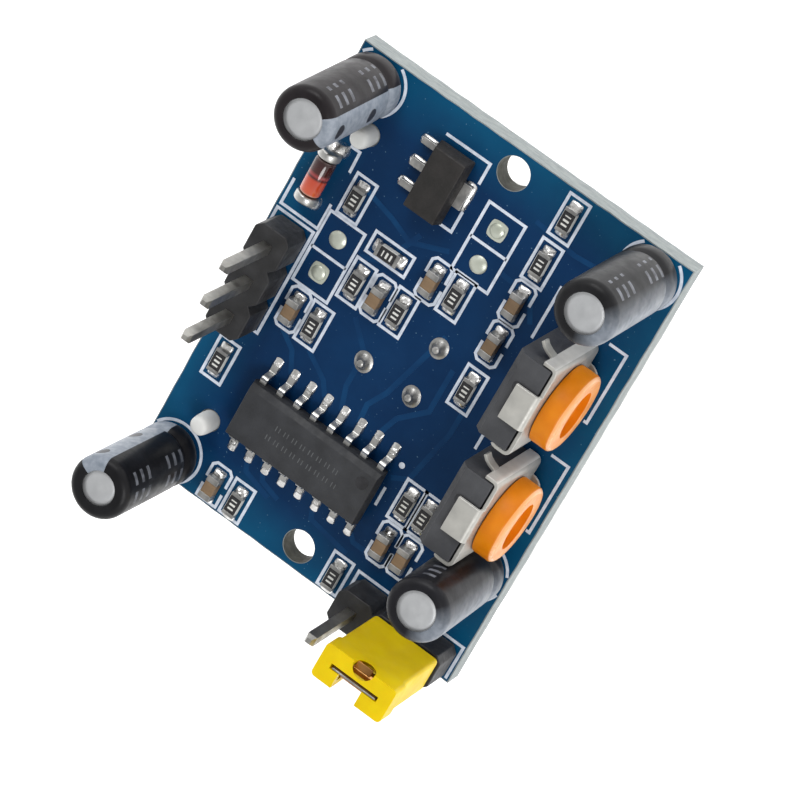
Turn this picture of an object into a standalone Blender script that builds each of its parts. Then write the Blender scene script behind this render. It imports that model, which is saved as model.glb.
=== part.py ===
"""Passive infrared motion sensor module: a small board with its parts and a clip-on dome lens.

Frame: the origin is the middle of the board's component face. +X runs along the board
towards the mode jumper, +Y towards the two trimmers, +Z out of the component face. The
lens points along -Z. Units are metres; MM turns millimetres into metres.
"""

import math

import bmesh
import bpy
from mathutils import Matrix, Vector

MM = 0.001
FIT_GAP = 0.1 * MM          # air kept between two pieces that touch on the real module
ROUND_STEPS = 20            # facets round a small turned piece
FINE_STEPS = 32             # facets round the lens and the sensor can
SHARP_ANGLE = 40.0          # degrees; edges sharper than this are bevelled
WELD = 0.001 * MM           # vertices closer than this are one vertex

# Board
BOARD_LENGTH = 31.0 * MM
BOARD_WIDTH = 24.0 * MM
BOARD_THICKNESS = 1.6 * MM
SCREW_HOLE_RADIUS = 1.05 * MM
SCREW_HOLE_X = 14.0 * MM
SCREW_HOLE_Y = -0.2 * MM
BOARD_BACK = -BOARD_THICKNESS
LAND_X = (-12.8 * MM, -12.1 * MM, 12.1 * MM, 12.8 * MM)
LAND_Y = (-1.2 * MM, 0.8 * MM)

# Lens
LENS_Y = -0.1 * MM
LENS_SIDE = 23.0 * MM
LENS_SKIRT_HEIGHT = 3.2 * MM
LENS_WALL = 0.8 * MM
LENS_HEIGHT = 14.5 * MM
LENS_CORNER = 1.2 * MM
DOME_RADIUS = 10.8 * MM
DOME_RINGS = 9
PEG_RADIUS = 0.62 * MM
PEG_HOLE_RADIUS = 0.8 * MM
PEG_X = 10.7 * MM
PEG_Y = 8.85 * MM
PEG_TOP = 1.65 * MM
PEG_STEPS = 10

# Drilled holes
DRILL_LENGTH = 3 * BOARD_THICKNESS
PIN_HOLE_RADIUS = 0.62 * MM
LEAD_HOLE_RADIUS = 0.4 * MM
SMALL_HOLE_STEPS = 8

# Infrared sensor
SENSOR_X = -0.35 * MM
SENSOR_Y = -0.6 * MM
SENSOR_STANDOFF = 0.3 * MM
SENSOR_HEADER_RADIUS = 4.55 * MM
SENSOR_HEADER_HEIGHT = 0.7 * MM
SENSOR_CAN_RADIUS = 4.1 * MM
SENSOR_CAN_HEIGHT = 3.6 * MM
SENSOR_CAN_WALL = 0.25 * MM
SENSOR_WINDOW = (4.0 * MM, 3.0 * MM)
SENSOR_LEAD_RADIUS = 0.23 * MM
SENSOR_LEAD_CIRCLE = 2.54 * MM
SENSOR_LEAD_ANGLES = (-45.0, 45.0, 135.0)
SENSOR_LEAD_TOP = 0.55 * MM
SENSOR_RIM = 0.3 * MM
SENSOR_SHOULDER = 0.4 * MM
SENSOR_GLASS_SEAL_RADIUS = 0.36 * MM
WINDOW_THICKNESS = 0.3 * MM
WINDOW_OVERLAP = 0.4 * MM
ELEMENT_SIZE = (5.0 * MM, 3.6 * MM, 0.5 * MM)
ELEMENT_STANDOFF = 0.6 * MM

# Pin headers
PITCH = 2.54 * MM
PIN_WIDTH = 0.64 * MM
PIN_TIP = 8.4 * MM
PIN_TAIL = -2.6 * MM
PIN_TAPER = 0.35 * MM
HOUSING_WIDTH = 2.5 * MM
HOUSING_HEIGHT = 2.54 * MM
HOUSING_CHAMFER = 0.5 * MM
OUTPUT_HEADER_CENTRE = (0.48 * MM, -10.37 * MM)
JUMPER_HEADER_CENTRE = (14.3 * MM, 7.79 * MM)

# Jumper shunt, seated over the jumper pins farthest along +Y
SHUNT_SIZE = (2.4 * MM, 4.8 * MM, 6.3 * MM)
SHUNT_BOTTOM = 2.9 * MM
SHUNT_HEAD_HEIGHT = 1.5 * MM
SHUNT_HEAD_FLARE = 0.15 * MM
HEAD_STEP = 0.04 * MM
SHUNT_WALL = 0.4 * MM
SHUNT_ROOF = 0.45 * MM
SHUNT_SLIT = (0.5 * MM, 3.9 * MM)
SHUNT_SLIT_X = 0.47 * MM
SHUNT_NOTCH_WIDTH = 1.9 * MM
SHUNT_NOTCH_DEPTH = 2.2 * MM
SHUNT_PROBE_RADIUS = 0.75 * MM
SHUNT_PROBE_X = -0.35 * MM
CONTACT_THICKNESS = 0.15 * MM
CONTACT_FOOT = 0.3 * MM
CONTACT_SUNK = 0.25 * MM
OVERRUN = 1.0 * MM          # how far a cutter runs past the face it opens

# Electrolytic capacitors: place on the board and how far the top leans, in degrees
CAN_RADIUS = 1.75 * MM
SLEEVE_RADIUS = 2.0 * MM
SLEEVE_THICKNESS = 0.15 * MM
CAPACITOR_BOTTOM = 0.35 * MM
CAPACITOR_TOP = 9.65 * MM
CAPACITOR_SHOULDER = 0.6 * MM
CAPACITOR_NECK = (1.5 * MM, 1.85 * MM, 2.2 * MM)
NECK_DEPTH = 0.2 * MM
DISC_SUNK = 0.15 * MM
CAPACITORS = (
    (-13.59 * MM, -10.2 * MM, 2.6, 0.5),
    (-13.7 * MM, 9.8 * MM, 1.2, -0.3),
    (8.1 * MM, 9.9 * MM, -1.3, 1.7),
    (13.9 * MM, -10.1 * MM, -0.5, -0.4),
)

# Integrated circuit
CHIP_CENTRE = (7.85 * MM, -2.47 * MM)
CHIP_BODY = (3.9 * MM, 9.9 * MM, 1.4 * MM)
CHIP_BOTTOM = 0.25 * MM
CHIP_PINS_PER_SIDE = 8
CHIP_PITCH = 1.27 * MM
CHIP_LEAD_WIDTH = 0.42 * MM
CHIP_LEAD_THICKNESS = 0.2 * MM
CHIP_SPAN = 6.0 * MM
CHIP_DRAFT = 0.12 * MM
CHIP_FOOT_LENGTH = 0.6 * MM
LEAD_BURY = 0.3 * MM        # how far a lead runs inside its moulded package

# Voltage regulator
REGULATOR_CENTRE = (-11.08 * MM, -3.6 * MM)
REGULATOR_BODY = (4.5 * MM, 2.5 * MM, 1.45 * MM)
REGULATOR_LEAD_PITCH = 1.5 * MM
REGULATOR_LEAD_WIDTHS = (0.45 * MM, 0.55 * MM, 0.45 * MM)
REGULATOR_LEAD_REACH = 1.1 * MM
REGULATOR_LEAD_THICKNESS = 0.4 * MM
REGULATOR_TAB_WIDTH = 1.7 * MM
REGULATOR_TAB_REACH = 0.7 * MM

# Glass diode
DIODE_CENTRE = (-7.05 * MM, -10.2 * MM)
DIODE_RADIUS = 0.68 * MM
DIODE_CAP_RADIUS = 0.75 * MM
DIODE_LENGTH = 3.7 * MM
DIODE_CAP_LENGTH = 0.55 * MM
DIODE_CAP_BEVEL = 0.1 * MM
DIODE_STEPS = 16

# Trimmers: the rotor's axis runs along Y
TRIMMERS = ((-5.3 * MM, 9.6 * MM), (2.65 * MM, 10.05 * MM))
TRIMMER_AXIS_Z = 3.4 * MM
TRIMMER_TOP = 6.85 * MM
TRIMMER_BASE_WIDTH = 5.7 * MM
TRIMMER_BASE_DEPTH = 2.3 * MM
TRIMMER_BASE_BEVEL = 0.25 * MM
TRIMMER_STEPS = 24
FRAME_WIDTH = 6.3 * MM
FRAME_THICKNESS = 0.25 * MM
FRAME_FLANGE = 1.1 * MM
FRAME_TAB = (2.45 * MM, 1.75 * MM)
FRAME_LIFT = 0.2 * MM
ROTOR_RADIUS = 2.65 * MM
ROTOR_DEPTH = 1.35 * MM
ROTOR_CHAMFER = 0.35 * MM
ROTOR_HUB_RADIUS = 1.3 * MM
ROTOR_HUB_LENGTH = 1.2 * MM
ROTOR_SLOTS = ((3.2 * MM, 0.9 * MM), (1.0 * MM, 2.1 * MM))
ROTOR_SLOT_DEPTH = 0.8 * MM
HUB_CLEARANCE = 0.2 * MM

# Chip resistors and ceramic capacitors, by the place of each centre on the board
CHIP_RESISTOR = (1.6 * MM, 0.8 * MM, 0.45 * MM)
CHIP_CERAMIC = (1.6 * MM, 0.8 * MM, 0.75 * MM)
RESISTORS_ALONG_X = (
    (-13.67, 4.05), (-10.41, 3.99), (-6.91, -7.68), (-5.5, 0.51), (-2.48, -5.17),
    (-2.53, -2.02), (-1.04, 3.95), (1.44, -6.17), (6.93, -10.2), (7.4, 4.3),
    (7.4, 5.65), (14.17, -4.95), (14.19, 2.63),
)
RESISTORS_ALONG_Y = ((-5.25, -4.25),)
CERAMICS = (
    (-7.42, 3.9), (-5.45, -1.14), (-4.46, 3.95), (-2.49, -3.56),
    (1.36, -7.76), (10.45, 4.3), (10.4, 5.8), (14.07, -6.69),
)

FINISHES = {
    # name: (colour, roughness, metallic)
    "solder_mask": ((0.015, 0.06, 0.16), 0.35, 0.0),
    "lens_plastic": ((0.85, 0.86, 0.84), 0.4, 0.0),
    "nickel_can": ((0.62, 0.61, 0.57), 0.3, 1.0),
    "silicon_window": ((0.06, 0.05, 0.07), 0.15, 0.3),
    "gold_header": ((0.75, 0.6, 0.32), 0.3, 1.0),
    "sensor_ceramic": ((0.8, 0.76, 0.65), 0.6, 0.0),
    "tinned_metal": ((0.66, 0.65, 0.62), 0.35, 1.0),
    "header_plastic": ((0.02, 0.02, 0.022), 0.5, 0.0),
    "shunt_plastic": ((0.8, 0.62, 0.0), 0.4, 0.0),
    "brass_contact": ((0.5, 0.36, 0.16), 0.35, 1.0),
    "aluminium_can": ((0.62, 0.63, 0.65), 0.45, 1.0),
    "sleeve_film": ((0.02, 0.02, 0.024), 0.3, 0.0),
    "moulded_epoxy": ((0.025, 0.026, 0.03), 0.55, 0.0),
    "diode_glass": ((0.45, 0.08, 0.03), 0.1, 0.0),
    "trimmer_base": ((0.03, 0.03, 0.034), 0.55, 0.0),
    "rotor_plastic": ((0.85, 0.32, 0.02), 0.4, 0.0),
    "resistor_body": ((0.02, 0.02, 0.02), 0.4, 0.0),
    "ceramic_body": ((0.3, 0.18, 0.09), 0.5, 0.0),
}


# ---------------------------------------------------------------- scene helpers

def clear_scene():
    for item in list(bpy.data.objects):
        bpy.data.objects.remove(item, do_unlink=True)


def new_collection(name):
    group = bpy.data.collections.new(name)
    bpy.context.scene.collection.children.link(group)
    return group


def make_materials():
    made = {}
    for name, (colour, roughness, metallic) in FINISHES.items():
        material = bpy.data.materials.new(name)
        material.use_nodes = True
        shader = material.node_tree.nodes["Principled BSDF"]
        shader.inputs["Base Color"].default_value = (*colour, 1.0)
        shader.inputs["Roughness"].default_value = roughness
        shader.inputs["Metallic"].default_value = metallic
        made[name] = material
    return made


def new_object(name, mesh, group, finish=None, at=(0, 0, 0), turn=(0, 0, 0)):
    """Links a mesh as a named object, placed by its location and rotation."""
    item = bpy.data.objects.new(name, mesh)
    group.objects.link(item)
    item.location = at
    item.rotation_euler = turn
    if finish:
        mesh.materials.append(MATERIALS[finish])
    return item


def mesh_from(bm, name):
    mesh = bpy.data.meshes.new(name)
    bmesh.ops.recalc_face_normals(bm, faces=bm.faces)
    bm.to_mesh(mesh)
    bm.free()
    return mesh


def add_box(bm, centre, size):
    """Adds a box to a bmesh."""
    place = Matrix.Translation(centre) @ Matrix.Diagonal((*size, 1.0))
    bmesh.ops.create_cube(bm, size=1.0, matrix=place)


def add_cylinder(bm, centre, radius, length, axis="Z", steps=ROUND_STEPS):
    """Adds a closed cylinder along X, Y or Z to a bmesh."""
    place = Matrix.Translation(centre)
    if axis == "Y":
        place = place @ Matrix.Rotation(math.radians(90), 4, "X")
    if axis == "X":
        place = place @ Matrix.Rotation(math.radians(90), 4, "Y")
    bmesh.ops.create_cone(bm, cap_ends=True, segments=steps, radius1=radius,
                          radius2=radius, depth=length, matrix=place)


def box_mesh(name, boxes):
    bm = bmesh.new()
    for centre, size in boxes:
        add_box(bm, centre, size)
    return mesh_from(bm, name)


def cylinder_mesh(name, cylinders):
    bm = bmesh.new()
    for cylinder in cylinders:
        add_cylinder(bm, *cylinder)
    return mesh_from(bm, name)


def outline_mesh(name, points, thickness, holes=()):
    """A flat outline in XY with its holes, thickened along Z, as a welded mesh."""
    curve = bpy.data.curves.new(name + "_outline", "CURVE")
    curve.dimensions = "2D"
    curve.fill_mode = "BOTH"
    curve.extrude = thickness / 2
    for ring in (points, *holes):
        spline = curve.splines.new("POLY")
        spline.points.add(len(ring) - 1)
        for point, (x, y) in zip(spline.points, ring):
            point.co = (x, y, 0.0, 1.0)
        spline.use_cyclic_u = True
    holder = bpy.data.objects.new(name + "_outline", curve)
    bpy.context.scene.collection.objects.link(holder)
    graph = bpy.context.evaluated_depsgraph_get()
    mesh = bpy.data.meshes.new_from_object(holder.evaluated_get(graph))
    mesh.name = name
    bpy.data.objects.remove(holder, do_unlink=True)
    bm = bmesh.new()
    bm.from_mesh(mesh)
    bmesh.ops.remove_doubles(bm, verts=bm.verts, dist=WELD)
    bmesh.ops.dissolve_limit(bm, angle_limit=math.radians(1), verts=bm.verts, edges=bm.edges)
    bmesh.ops.recalc_face_normals(bm, faces=bm.faces)
    bm.to_mesh(mesh)
    bm.free()
    return mesh


def profile_mesh(name, points):
    """An open profile in the XZ plane, ready for a Screw modifier about Z."""
    mesh = bpy.data.meshes.new(name)
    edges = [(i, i + 1) for i in range(len(points) - 1)]
    mesh.from_pydata([(x, 0.0, z) for x, z in points], edges, [])
    return mesh


def turned(name, points, group, finish, steps, closed_ring=False, **place):
    """A profile turned about Z. A profile that is a ring of points makes a tube wall."""
    if closed_ring:
        points = list(points) + [points[0]]
    item = new_object(name, profile_mesh(name, points), group, finish, **place)
    screw = item.modifiers.new("Turn", "SCREW")
    screw.steps = steps
    screw.render_steps = steps
    screw.use_merge_vertices = True
    screw.merge_threshold = WELD
    if closed_ring:
        weld = item.modifiers.new("Close", "WELD")
        weld.merge_threshold = WELD
    return item


def apply_tool(item, tool, operation):
    """Lets an object of the cutters' collection cut another object or join it."""
    tool.location = item.location
    tool.rotation_euler = item.rotation_euler
    tool.hide_render = True
    tool.display_type = "WIRE"
    boolean = item.modifiers.new("Shape", "BOOLEAN")
    boolean.operation = operation
    boolean.solver = "EXACT"
    boolean.object = tool


def cut(item, cutter_mesh, operation="DIFFERENCE"):
    """Cuts a mesh from an object, or joins it on, with a Boolean modifier."""
    tool = bpy.data.objects.new(item.name + "_" + cutter_mesh.name, cutter_mesh)
    CUTTERS.objects.link(tool)
    apply_tool(item, tool, operation)


def soften(item, width):
    """Cuts every sharp edge back by a flat bevel."""
    bevel = item.modifiers.new("Edges", "BEVEL")
    bevel.width = width
    bevel.segments = 1
    bevel.limit_method = "ANGLE"
    bevel.angle_limit = math.radians(SHARP_ANGLE)


def arc(centre, radius, start, end, steps):
    """Points on an arc in the XZ plane, angles in degrees from +X."""
    angles = [math.radians(start + (end - start) * i / steps) for i in range(steps + 1)]
    return [(centre[0] + radius * math.cos(a), centre[1] + radius * math.sin(a)) for a in angles]


# ---------------------------------------------------------------- board

def header_pin_places():
    x, y = OUTPUT_HEADER_CENTRE
    output = [(x + i * PITCH, y) for i in (-1, 0, 1)]
    x, y = JUMPER_HEADER_CENTRE
    jumper = [(x, y + i * PITCH) for i in (-1, 0, 1)]
    return output, jumper


def sensor_lead_places():
    places = []
    for angle in SENSOR_LEAD_ANGLES:
        a = math.radians(angle)
        places.append((SENSOR_X + SENSOR_LEAD_CIRCLE * math.cos(a),
                       SENSOR_Y + SENSOR_LEAD_CIRCLE * math.sin(a)))
    return places


def peg_places():
    return [(sx * PEG_X, LENS_Y + sy * PEG_Y) for sx in (-1, 1) for sy in (-1, 1)]


def screw_places():
    return [(-SCREW_HOLE_X, SCREW_HOLE_Y), (SCREW_HOLE_X, SCREW_HOLE_Y)]


def board_mesh():
    """The board's slab, scored so that a small flat land stands beside each screw hole."""
    bm = bmesh.new()
    add_box(bm, (0, 0, BOARD_BACK / 2), (BOARD_LENGTH, BOARD_WIDTH, BOARD_THICKNESS))
    scores = [((x, 0, 0), (1, 0, 0)) for x in LAND_X]
    scores += [((0, y, 0), (0, 1, 0)) for y in LAND_Y]
    for point, normal in scores:
        everything = bm.verts[:] + bm.edges[:] + bm.faces[:]
        bmesh.ops.bisect_plane(bm, geom=everything, plane_co=point, plane_no=normal)
    return mesh_from(bm, "board")


def make_board():
    board = new_object("pcb", board_mesh(), PARTS, "solder_mask")
    output, jumper = header_pin_places()
    holes = (
        (screw_places(), SCREW_HOLE_RADIUS, ROUND_STEPS),
        (peg_places(), PEG_HOLE_RADIUS, PEG_STEPS),
        (output + jumper, PIN_HOLE_RADIUS, SMALL_HOLE_STEPS),
        (sensor_lead_places(), LEAD_HOLE_RADIUS, SMALL_HOLE_STEPS),
    )
    drills = []
    for places, radius, steps in holes:
        for x, y in places:
            drills.append(((x, y, BOARD_BACK / 2), radius, DRILL_LENGTH, "Z", steps))
    cut(board, cylinder_mesh("drills", drills))


# ---------------------------------------------------------------- lens

def dome_profile(radius, foot_z, tip_z):
    """Half outline of a round-topped dome, from its tip to the foot of its straight neck."""
    points = []
    for x, z in arc((0.0, -tip_z - radius), radius, 90, 0, DOME_RINGS):
        points.append((x, -z))
    return points + [(radius, foot_z)]


def rounded_square(side, radius):
    """Outline of a square with rounded corners."""
    reach = side / 2 - radius
    points = []
    for quarter, (sx, sy) in enumerate(((1, 1), (-1, 1), (-1, -1), (1, -1))):
        start = 90 * quarter
        points += arc((sx * reach, sy * reach), radius, start, start + 90, 3)
    return points


def make_lens():
    top = BOARD_BACK - FIT_GAP
    skirt_foot = top - LENS_SKIRT_HEIGHT
    tip = top - LENS_HEIGHT
    skirt = outline_mesh("skirt", rounded_square(LENS_SIDE, LENS_CORNER), LENS_SKIRT_HEIGHT)
    skirt.transform(Matrix.Translation((0, 0, (top + skirt_foot) / 2)))
    lens = new_object("lens_dome", skirt, PARTS, "lens_plastic", at=(0, LENS_Y, 0))

    bury = 0.5 * MM
    outer = dome_profile(DOME_RADIUS, skirt_foot + bury, tip)
    apply_tool(lens, closed_dome("dome_outside", outer), "UNION")

    roof = skirt_foot + LENS_WALL
    inner_outline = rounded_square(LENS_SIDE - 2 * LENS_WALL, LENS_CORNER - LENS_WALL / 2)
    hollow = outline_mesh("hollow", inner_outline, top + OVERRUN - roof)
    hollow.transform(Matrix.Translation((0, 0, (top + OVERRUN + roof) / 2)))
    cut(lens, hollow)
    inner = dome_profile(DOME_RADIUS - LENS_WALL, roof + bury, tip + LENS_WALL)
    apply_tool(lens, closed_dome("dome_inside", inner), "DIFFERENCE")

    peg_length = PEG_TOP - roof
    pegs = []
    for x, y in peg_places():
        pegs.append(((x, y - LENS_Y, (PEG_TOP + roof) / 2), PEG_RADIUS, peg_length, "Z", PEG_STEPS))
    cut(lens, cylinder_mesh("pegs", pegs), "UNION")


def closed_dome(name, profile):
    """Turns a dome's profile and fills the one open ring, so that the shape is closed."""
    item = turned(name, profile[::-1], CUTTERS, None, FINE_STEPS)
    graph = bpy.context.evaluated_depsgraph_get()
    mesh = bpy.data.meshes.new_from_object(item.evaluated_get(graph))
    bm = bmesh.new()
    bm.from_mesh(mesh)
    bmesh.ops.remove_doubles(bm, verts=bm.verts, dist=WELD)
    rim = [edge for edge in bm.edges if edge.is_boundary]
    bmesh.ops.contextual_create(bm, geom=rim)
    bmesh.ops.recalc_face_normals(bm, faces=bm.faces)
    bm.to_mesh(mesh)
    bm.free()
    item.modifiers.clear()
    item.data = mesh
    return item


# ---------------------------------------------------------------- infrared sensor

def make_sensor():
    header_top = BOARD_BACK - SENSOR_STANDOFF
    header_foot = header_top - SENSOR_HEADER_HEIGHT
    flange_foot = header_top - SENSOR_RIM
    place = {"at": (SENSOR_X, SENSOR_Y, 0)}
    make_sensor_header(header_top, flange_foot, header_foot, place)
    make_sensor_can(flange_foot - FIT_GAP, place)

    element_z = header_foot - ELEMENT_STANDOFF - ELEMENT_SIZE[2] / 2
    element = box_mesh("element", [((0, 0, element_z), ELEMENT_SIZE)])
    new_object("pir_element", element, PARTS, "sensor_ceramic", **place)

    lead_foot = header_foot - ELEMENT_STANDOFF / 2
    length = SENSOR_LEAD_TOP - lead_foot
    centre = (0, 0, (SENSOR_LEAD_TOP + lead_foot) / 2)
    for number, (x, y) in enumerate(sensor_lead_places(), start=1):
        lead = cylinder_mesh("lead", [(centre, SENSOR_LEAD_RADIUS, length, "Z", SMALL_HOLE_STEPS)])
        new_object(f"pir_lead_{number}", lead, PARTS, "tinned_metal", at=(x, y, 0))


def make_sensor_header(top, flange_foot, foot, place):
    """The sensor's base: a flange towards the board and a plug inside the can."""
    plug = SENSOR_CAN_RADIUS - SENSOR_CAN_WALL - FIT_GAP
    profile = [
        (0.0, top), (SENSOR_HEADER_RADIUS, top), (SENSOR_HEADER_RADIUS, flange_foot),
        (plug, flange_foot), (plug, foot), (0.0, foot),
    ]
    base = turned("pir_header", profile, PARTS, "gold_header", FINE_STEPS, **place)
    seals = []
    for x, y in sensor_lead_places():
        seals.append(((x - SENSOR_X, y - SENSOR_Y, top), SENSOR_GLASS_SEAL_RADIUS,
                      4 * SENSOR_HEADER_HEIGHT, "Z", SMALL_HOLE_STEPS))
    cut(base, cylinder_mesh("lead_holes", seals))


def make_sensor_can(rim, place):
    """The sensor's metal can with its flanged rim, and the window behind its opening."""
    end = rim - SENSOR_CAN_HEIGHT
    r = SENSOR_CAN_RADIUS
    wall = SENSOR_CAN_WALL
    shoulder = arc((r - SENSOR_SHOULDER, end + SENSOR_SHOULDER), SENSOR_SHOULDER, 0, -90, 3)
    profile = [(SENSOR_HEADER_RADIUS, rim), (SENSOR_HEADER_RADIUS, rim - wall), (r, rim - wall)]
    profile += shoulder
    profile += [(0.0, end), (0.0, end + wall), (r - wall, end + wall), (r - wall, rim)]
    profile.append(profile[0])
    can = turned("pir_can", profile, PARTS, "nickel_can", FINE_STEPS, **place)
    cut(can, box_mesh("window_opening", [((0, 0, end), (*SENSOR_WINDOW, 4 * wall))]))

    window_size = [side + 2 * WINDOW_OVERLAP for side in SENSOR_WINDOW]
    window_z = end + wall + FIT_GAP + WINDOW_THICKNESS / 2
    window = box_mesh("window", [((0, 0, window_z), (*window_size, WINDOW_THICKNESS))])
    new_object("pir_window", window, PARTS, "silicon_window", **place)


# ---------------------------------------------------------------- pin headers

def pin_mesh(name):
    """A square pin with both ends drawn in to a blunt point."""
    bm = bmesh.new()
    body_top = PIN_TIP - PIN_TAPER
    body_foot = PIN_TAIL + PIN_TAPER
    add_box(bm, (0, 0, (body_top + body_foot) / 2), (PIN_WIDTH, PIN_WIDTH, body_top - body_foot))
    ends = [face for face in bm.faces if abs(face.normal.z) > 0.9]
    for face in ends:
        step = Vector((0, 0, math.copysign(PIN_TAPER, face.normal.z)))
        made = bmesh.ops.extrude_discrete_faces(bm, faces=[face])
        verts = made["faces"][0].verts
        bmesh.ops.translate(bm, verts=verts, vec=step)
        bmesh.ops.scale(bm, verts=verts, vec=(0.5, 0.5, 1.0))
    return mesh_from(bm, name)


def housing_outline(pin_count):
    """Outline along X of a row of square blocks with their corners cut off."""
    half = HOUSING_WIDTH / 2
    c = HOUSING_CHAMFER
    start = -pin_count * PITCH / 2
    lower = []
    for i in range(pin_count):
        x = start + i * PITCH
        lower += [(x, -half + c), (x + c, -half), (x + PITCH - c, -half)]
    lower.append((start + pin_count * PITCH, -half + c))
    upper = [(-x, -y) for x, y in lower]
    return lower + upper


def make_header(name, centre, along_y):
    places = header_pin_places()[1 if along_y else 0]
    turn = (0, 0, math.radians(90) if along_y else 0)
    reach = PIN_WIDTH / 2 + FIT_GAP
    corners = ((-reach, -reach), (reach, -reach), (reach, reach), (-reach, reach))
    wells = [[(i * PITCH + x, y) for x, y in corners] for i in (-1, 0, 1)]
    block = outline_mesh("block", housing_outline(3), HOUSING_HEIGHT, wells)
    middle = FIT_GAP + HOUSING_HEIGHT / 2
    new_object(name + "_housing", block, PARTS, "header_plastic", at=(*centre, middle), turn=turn)
    shared = pin_mesh(name + "_pin")
    shared.materials.append(MATERIALS["tinned_metal"])
    for number, (x, y) in enumerate(places, start=1):
        new_object(f"{name}_pin_{number}", shared, PARTS, at=(x, y, 0))


def make_shunt():
    x, y = JUMPER_HEADER_CENTRE
    origin = (x, y + PITCH / 2, SHUNT_BOTTOM)
    width, length, height = SHUNT_SIZE
    room_top = height - SHUNT_ROOF
    body = box_mesh("body", [((0, 0, height / 2), (width, length, height))])
    housing = new_object("shunt_housing", body, PARTS, "shunt_plastic", at=origin)
    head_size = (width + HEAD_STEP, length + 2 * SHUNT_HEAD_FLARE, SHUNT_HEAD_HEIGHT)
    head = box_mesh("head", [((0, 0, height - SHUNT_HEAD_HEIGHT / 2), head_size)])
    cut(housing, head, "UNION")
    room_size = (width - 2 * SHUNT_WALL, length - 2 * SHUNT_WALL, room_top + OVERRUN)
    through = 4 * SHUNT_ROOF
    notch_size = (width / 2, SHUNT_NOTCH_WIDTH, 2 * SHUNT_NOTCH_DEPTH)
    cut(housing, box_mesh("room", [((0, 0, (room_top - OVERRUN) / 2), room_size)]))
    cut(housing, box_mesh("slit", [((SHUNT_SLIT_X, 0, height), (*SHUNT_SLIT, through))]))
    cut(housing, box_mesh("notch", [((width / 2, 0, height), notch_size)]))
    probe = ((SHUNT_PROBE_X, 0, height), SHUNT_PROBE_RADIUS, through, "Z", ROUND_STEPS)
    cut(housing, cylinder_mesh("probe", [probe]))
    make_shunt_contact(origin, room_top - FIT_GAP)


def make_shunt_contact(origin, bridge_top):
    """A bent strip: two leaves beside the pins joined by a bridge above their tips."""
    t = CONTACT_THICKNESS
    leaf_x = PIN_WIDTH / 2 + FIT_GAP + t / 2
    leaf_length = SHUNT_SIZE[1] - 2 * SHUNT_WALL - 2 * FIT_GAP
    leaf_tip = SHUNT_SIZE[2] - CONTACT_SUNK
    near = ((-leaf_x, 0, (CONTACT_FOOT + bridge_top) / 2), (t, leaf_length, bridge_top - CONTACT_FOOT))
    far = ((leaf_x, 0, (CONTACT_FOOT + leaf_tip) / 2), (t, leaf_length, leaf_tip - CONTACT_FOOT))
    bridge = ((0, 0, bridge_top - t / 2), (2 * leaf_x + t / 2, leaf_length, t))
    contact = new_object("shunt_contact", box_mesh("near_leaf", [near]), PARTS, "brass_contact",
                         at=origin)
    cut(contact, box_mesh("bridge", [bridge]), "UNION")
    cut(contact, box_mesh("far_leaf", [far]), "UNION")


# ---------------------------------------------------------------- electrolytic capacitors

def neck(radius):
    """The groove rolled into a capacitor's side near its foot, from the top down."""
    low, middle, high = CAPACITOR_NECK
    return [(radius, high), (radius - NECK_DEPTH, middle), (radius, low)]


def make_electrolytic(number, x, y, lean_x, lean_y):
    """An aluminium can in a shrunk sleeve that leaves the disc at its end bare."""
    place = {"at": (x, y, 0), "turn": (math.radians(-lean_y), math.radians(lean_x), 0)}
    top = CAPACITOR_TOP
    r = CAN_RADIUS
    shoulder = CAPACITOR_SHOULDER
    disc_z = top - DISC_SUNK
    can = [(0.0, disc_z)]
    can += arc((r - shoulder, disc_z - shoulder), shoulder, 90, 0, 4)
    can += neck(r) + [(r, CAPACITOR_BOTTOM), (0.0, CAPACITOR_BOTTOM)]
    turned(f"capacitor_{number}_can", can, PARTS, "aluminium_can", ROUND_STEPS, **place)

    outer = SLEEVE_RADIUS
    inner = outer - SLEEVE_THICKNESS
    bend_centre = (outer - shoulder, top - shoulder)
    foot = CAPACITOR_BOTTOM + FIT_GAP
    lip = outer - shoulder - FIT_GAP
    film = [(lip, top)] + arc(bend_centre, shoulder, 90, 0, 4)
    film += neck(outer) + [(outer, foot), (inner, foot)] + neck(inner)[::-1]
    film += arc(bend_centre, shoulder - SLEEVE_THICKNESS, 0, 90, 4)
    film.append((lip, top - SLEEVE_THICKNESS))
    turned(f"capacitor_{number}_sleeve", film, PARTS, "sleeve_film", ROUND_STEPS,
           closed_ring=True, **place)


# ---------------------------------------------------------------- soldered packages

def gull_wing(side):
    """Side outline of one lead from inside the package to its foot on the board."""
    t = CHIP_LEAD_THICKNESS
    foot_z = FIT_GAP
    exit_z = CHIP_BOTTOM + CHIP_BODY[2] / 2
    root = CHIP_BODY[0] / 2 - LEAD_BURY
    knee = CHIP_BODY[0] / 2 + LEAD_BURY
    toe = CHIP_SPAN / 2
    heel = toe - CHIP_FOOT_LENGTH
    upper = [(root, exit_z + t / 2), (knee, exit_z + t / 2), (heel + t, foot_z + t), (toe, foot_z + t)]
    lower = [(toe, foot_z), (heel, foot_z), (knee - t, exit_z - t / 2), (root, exit_z - t / 2)]
    return [(side * x, z) for x, z in upper + lower]


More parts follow.
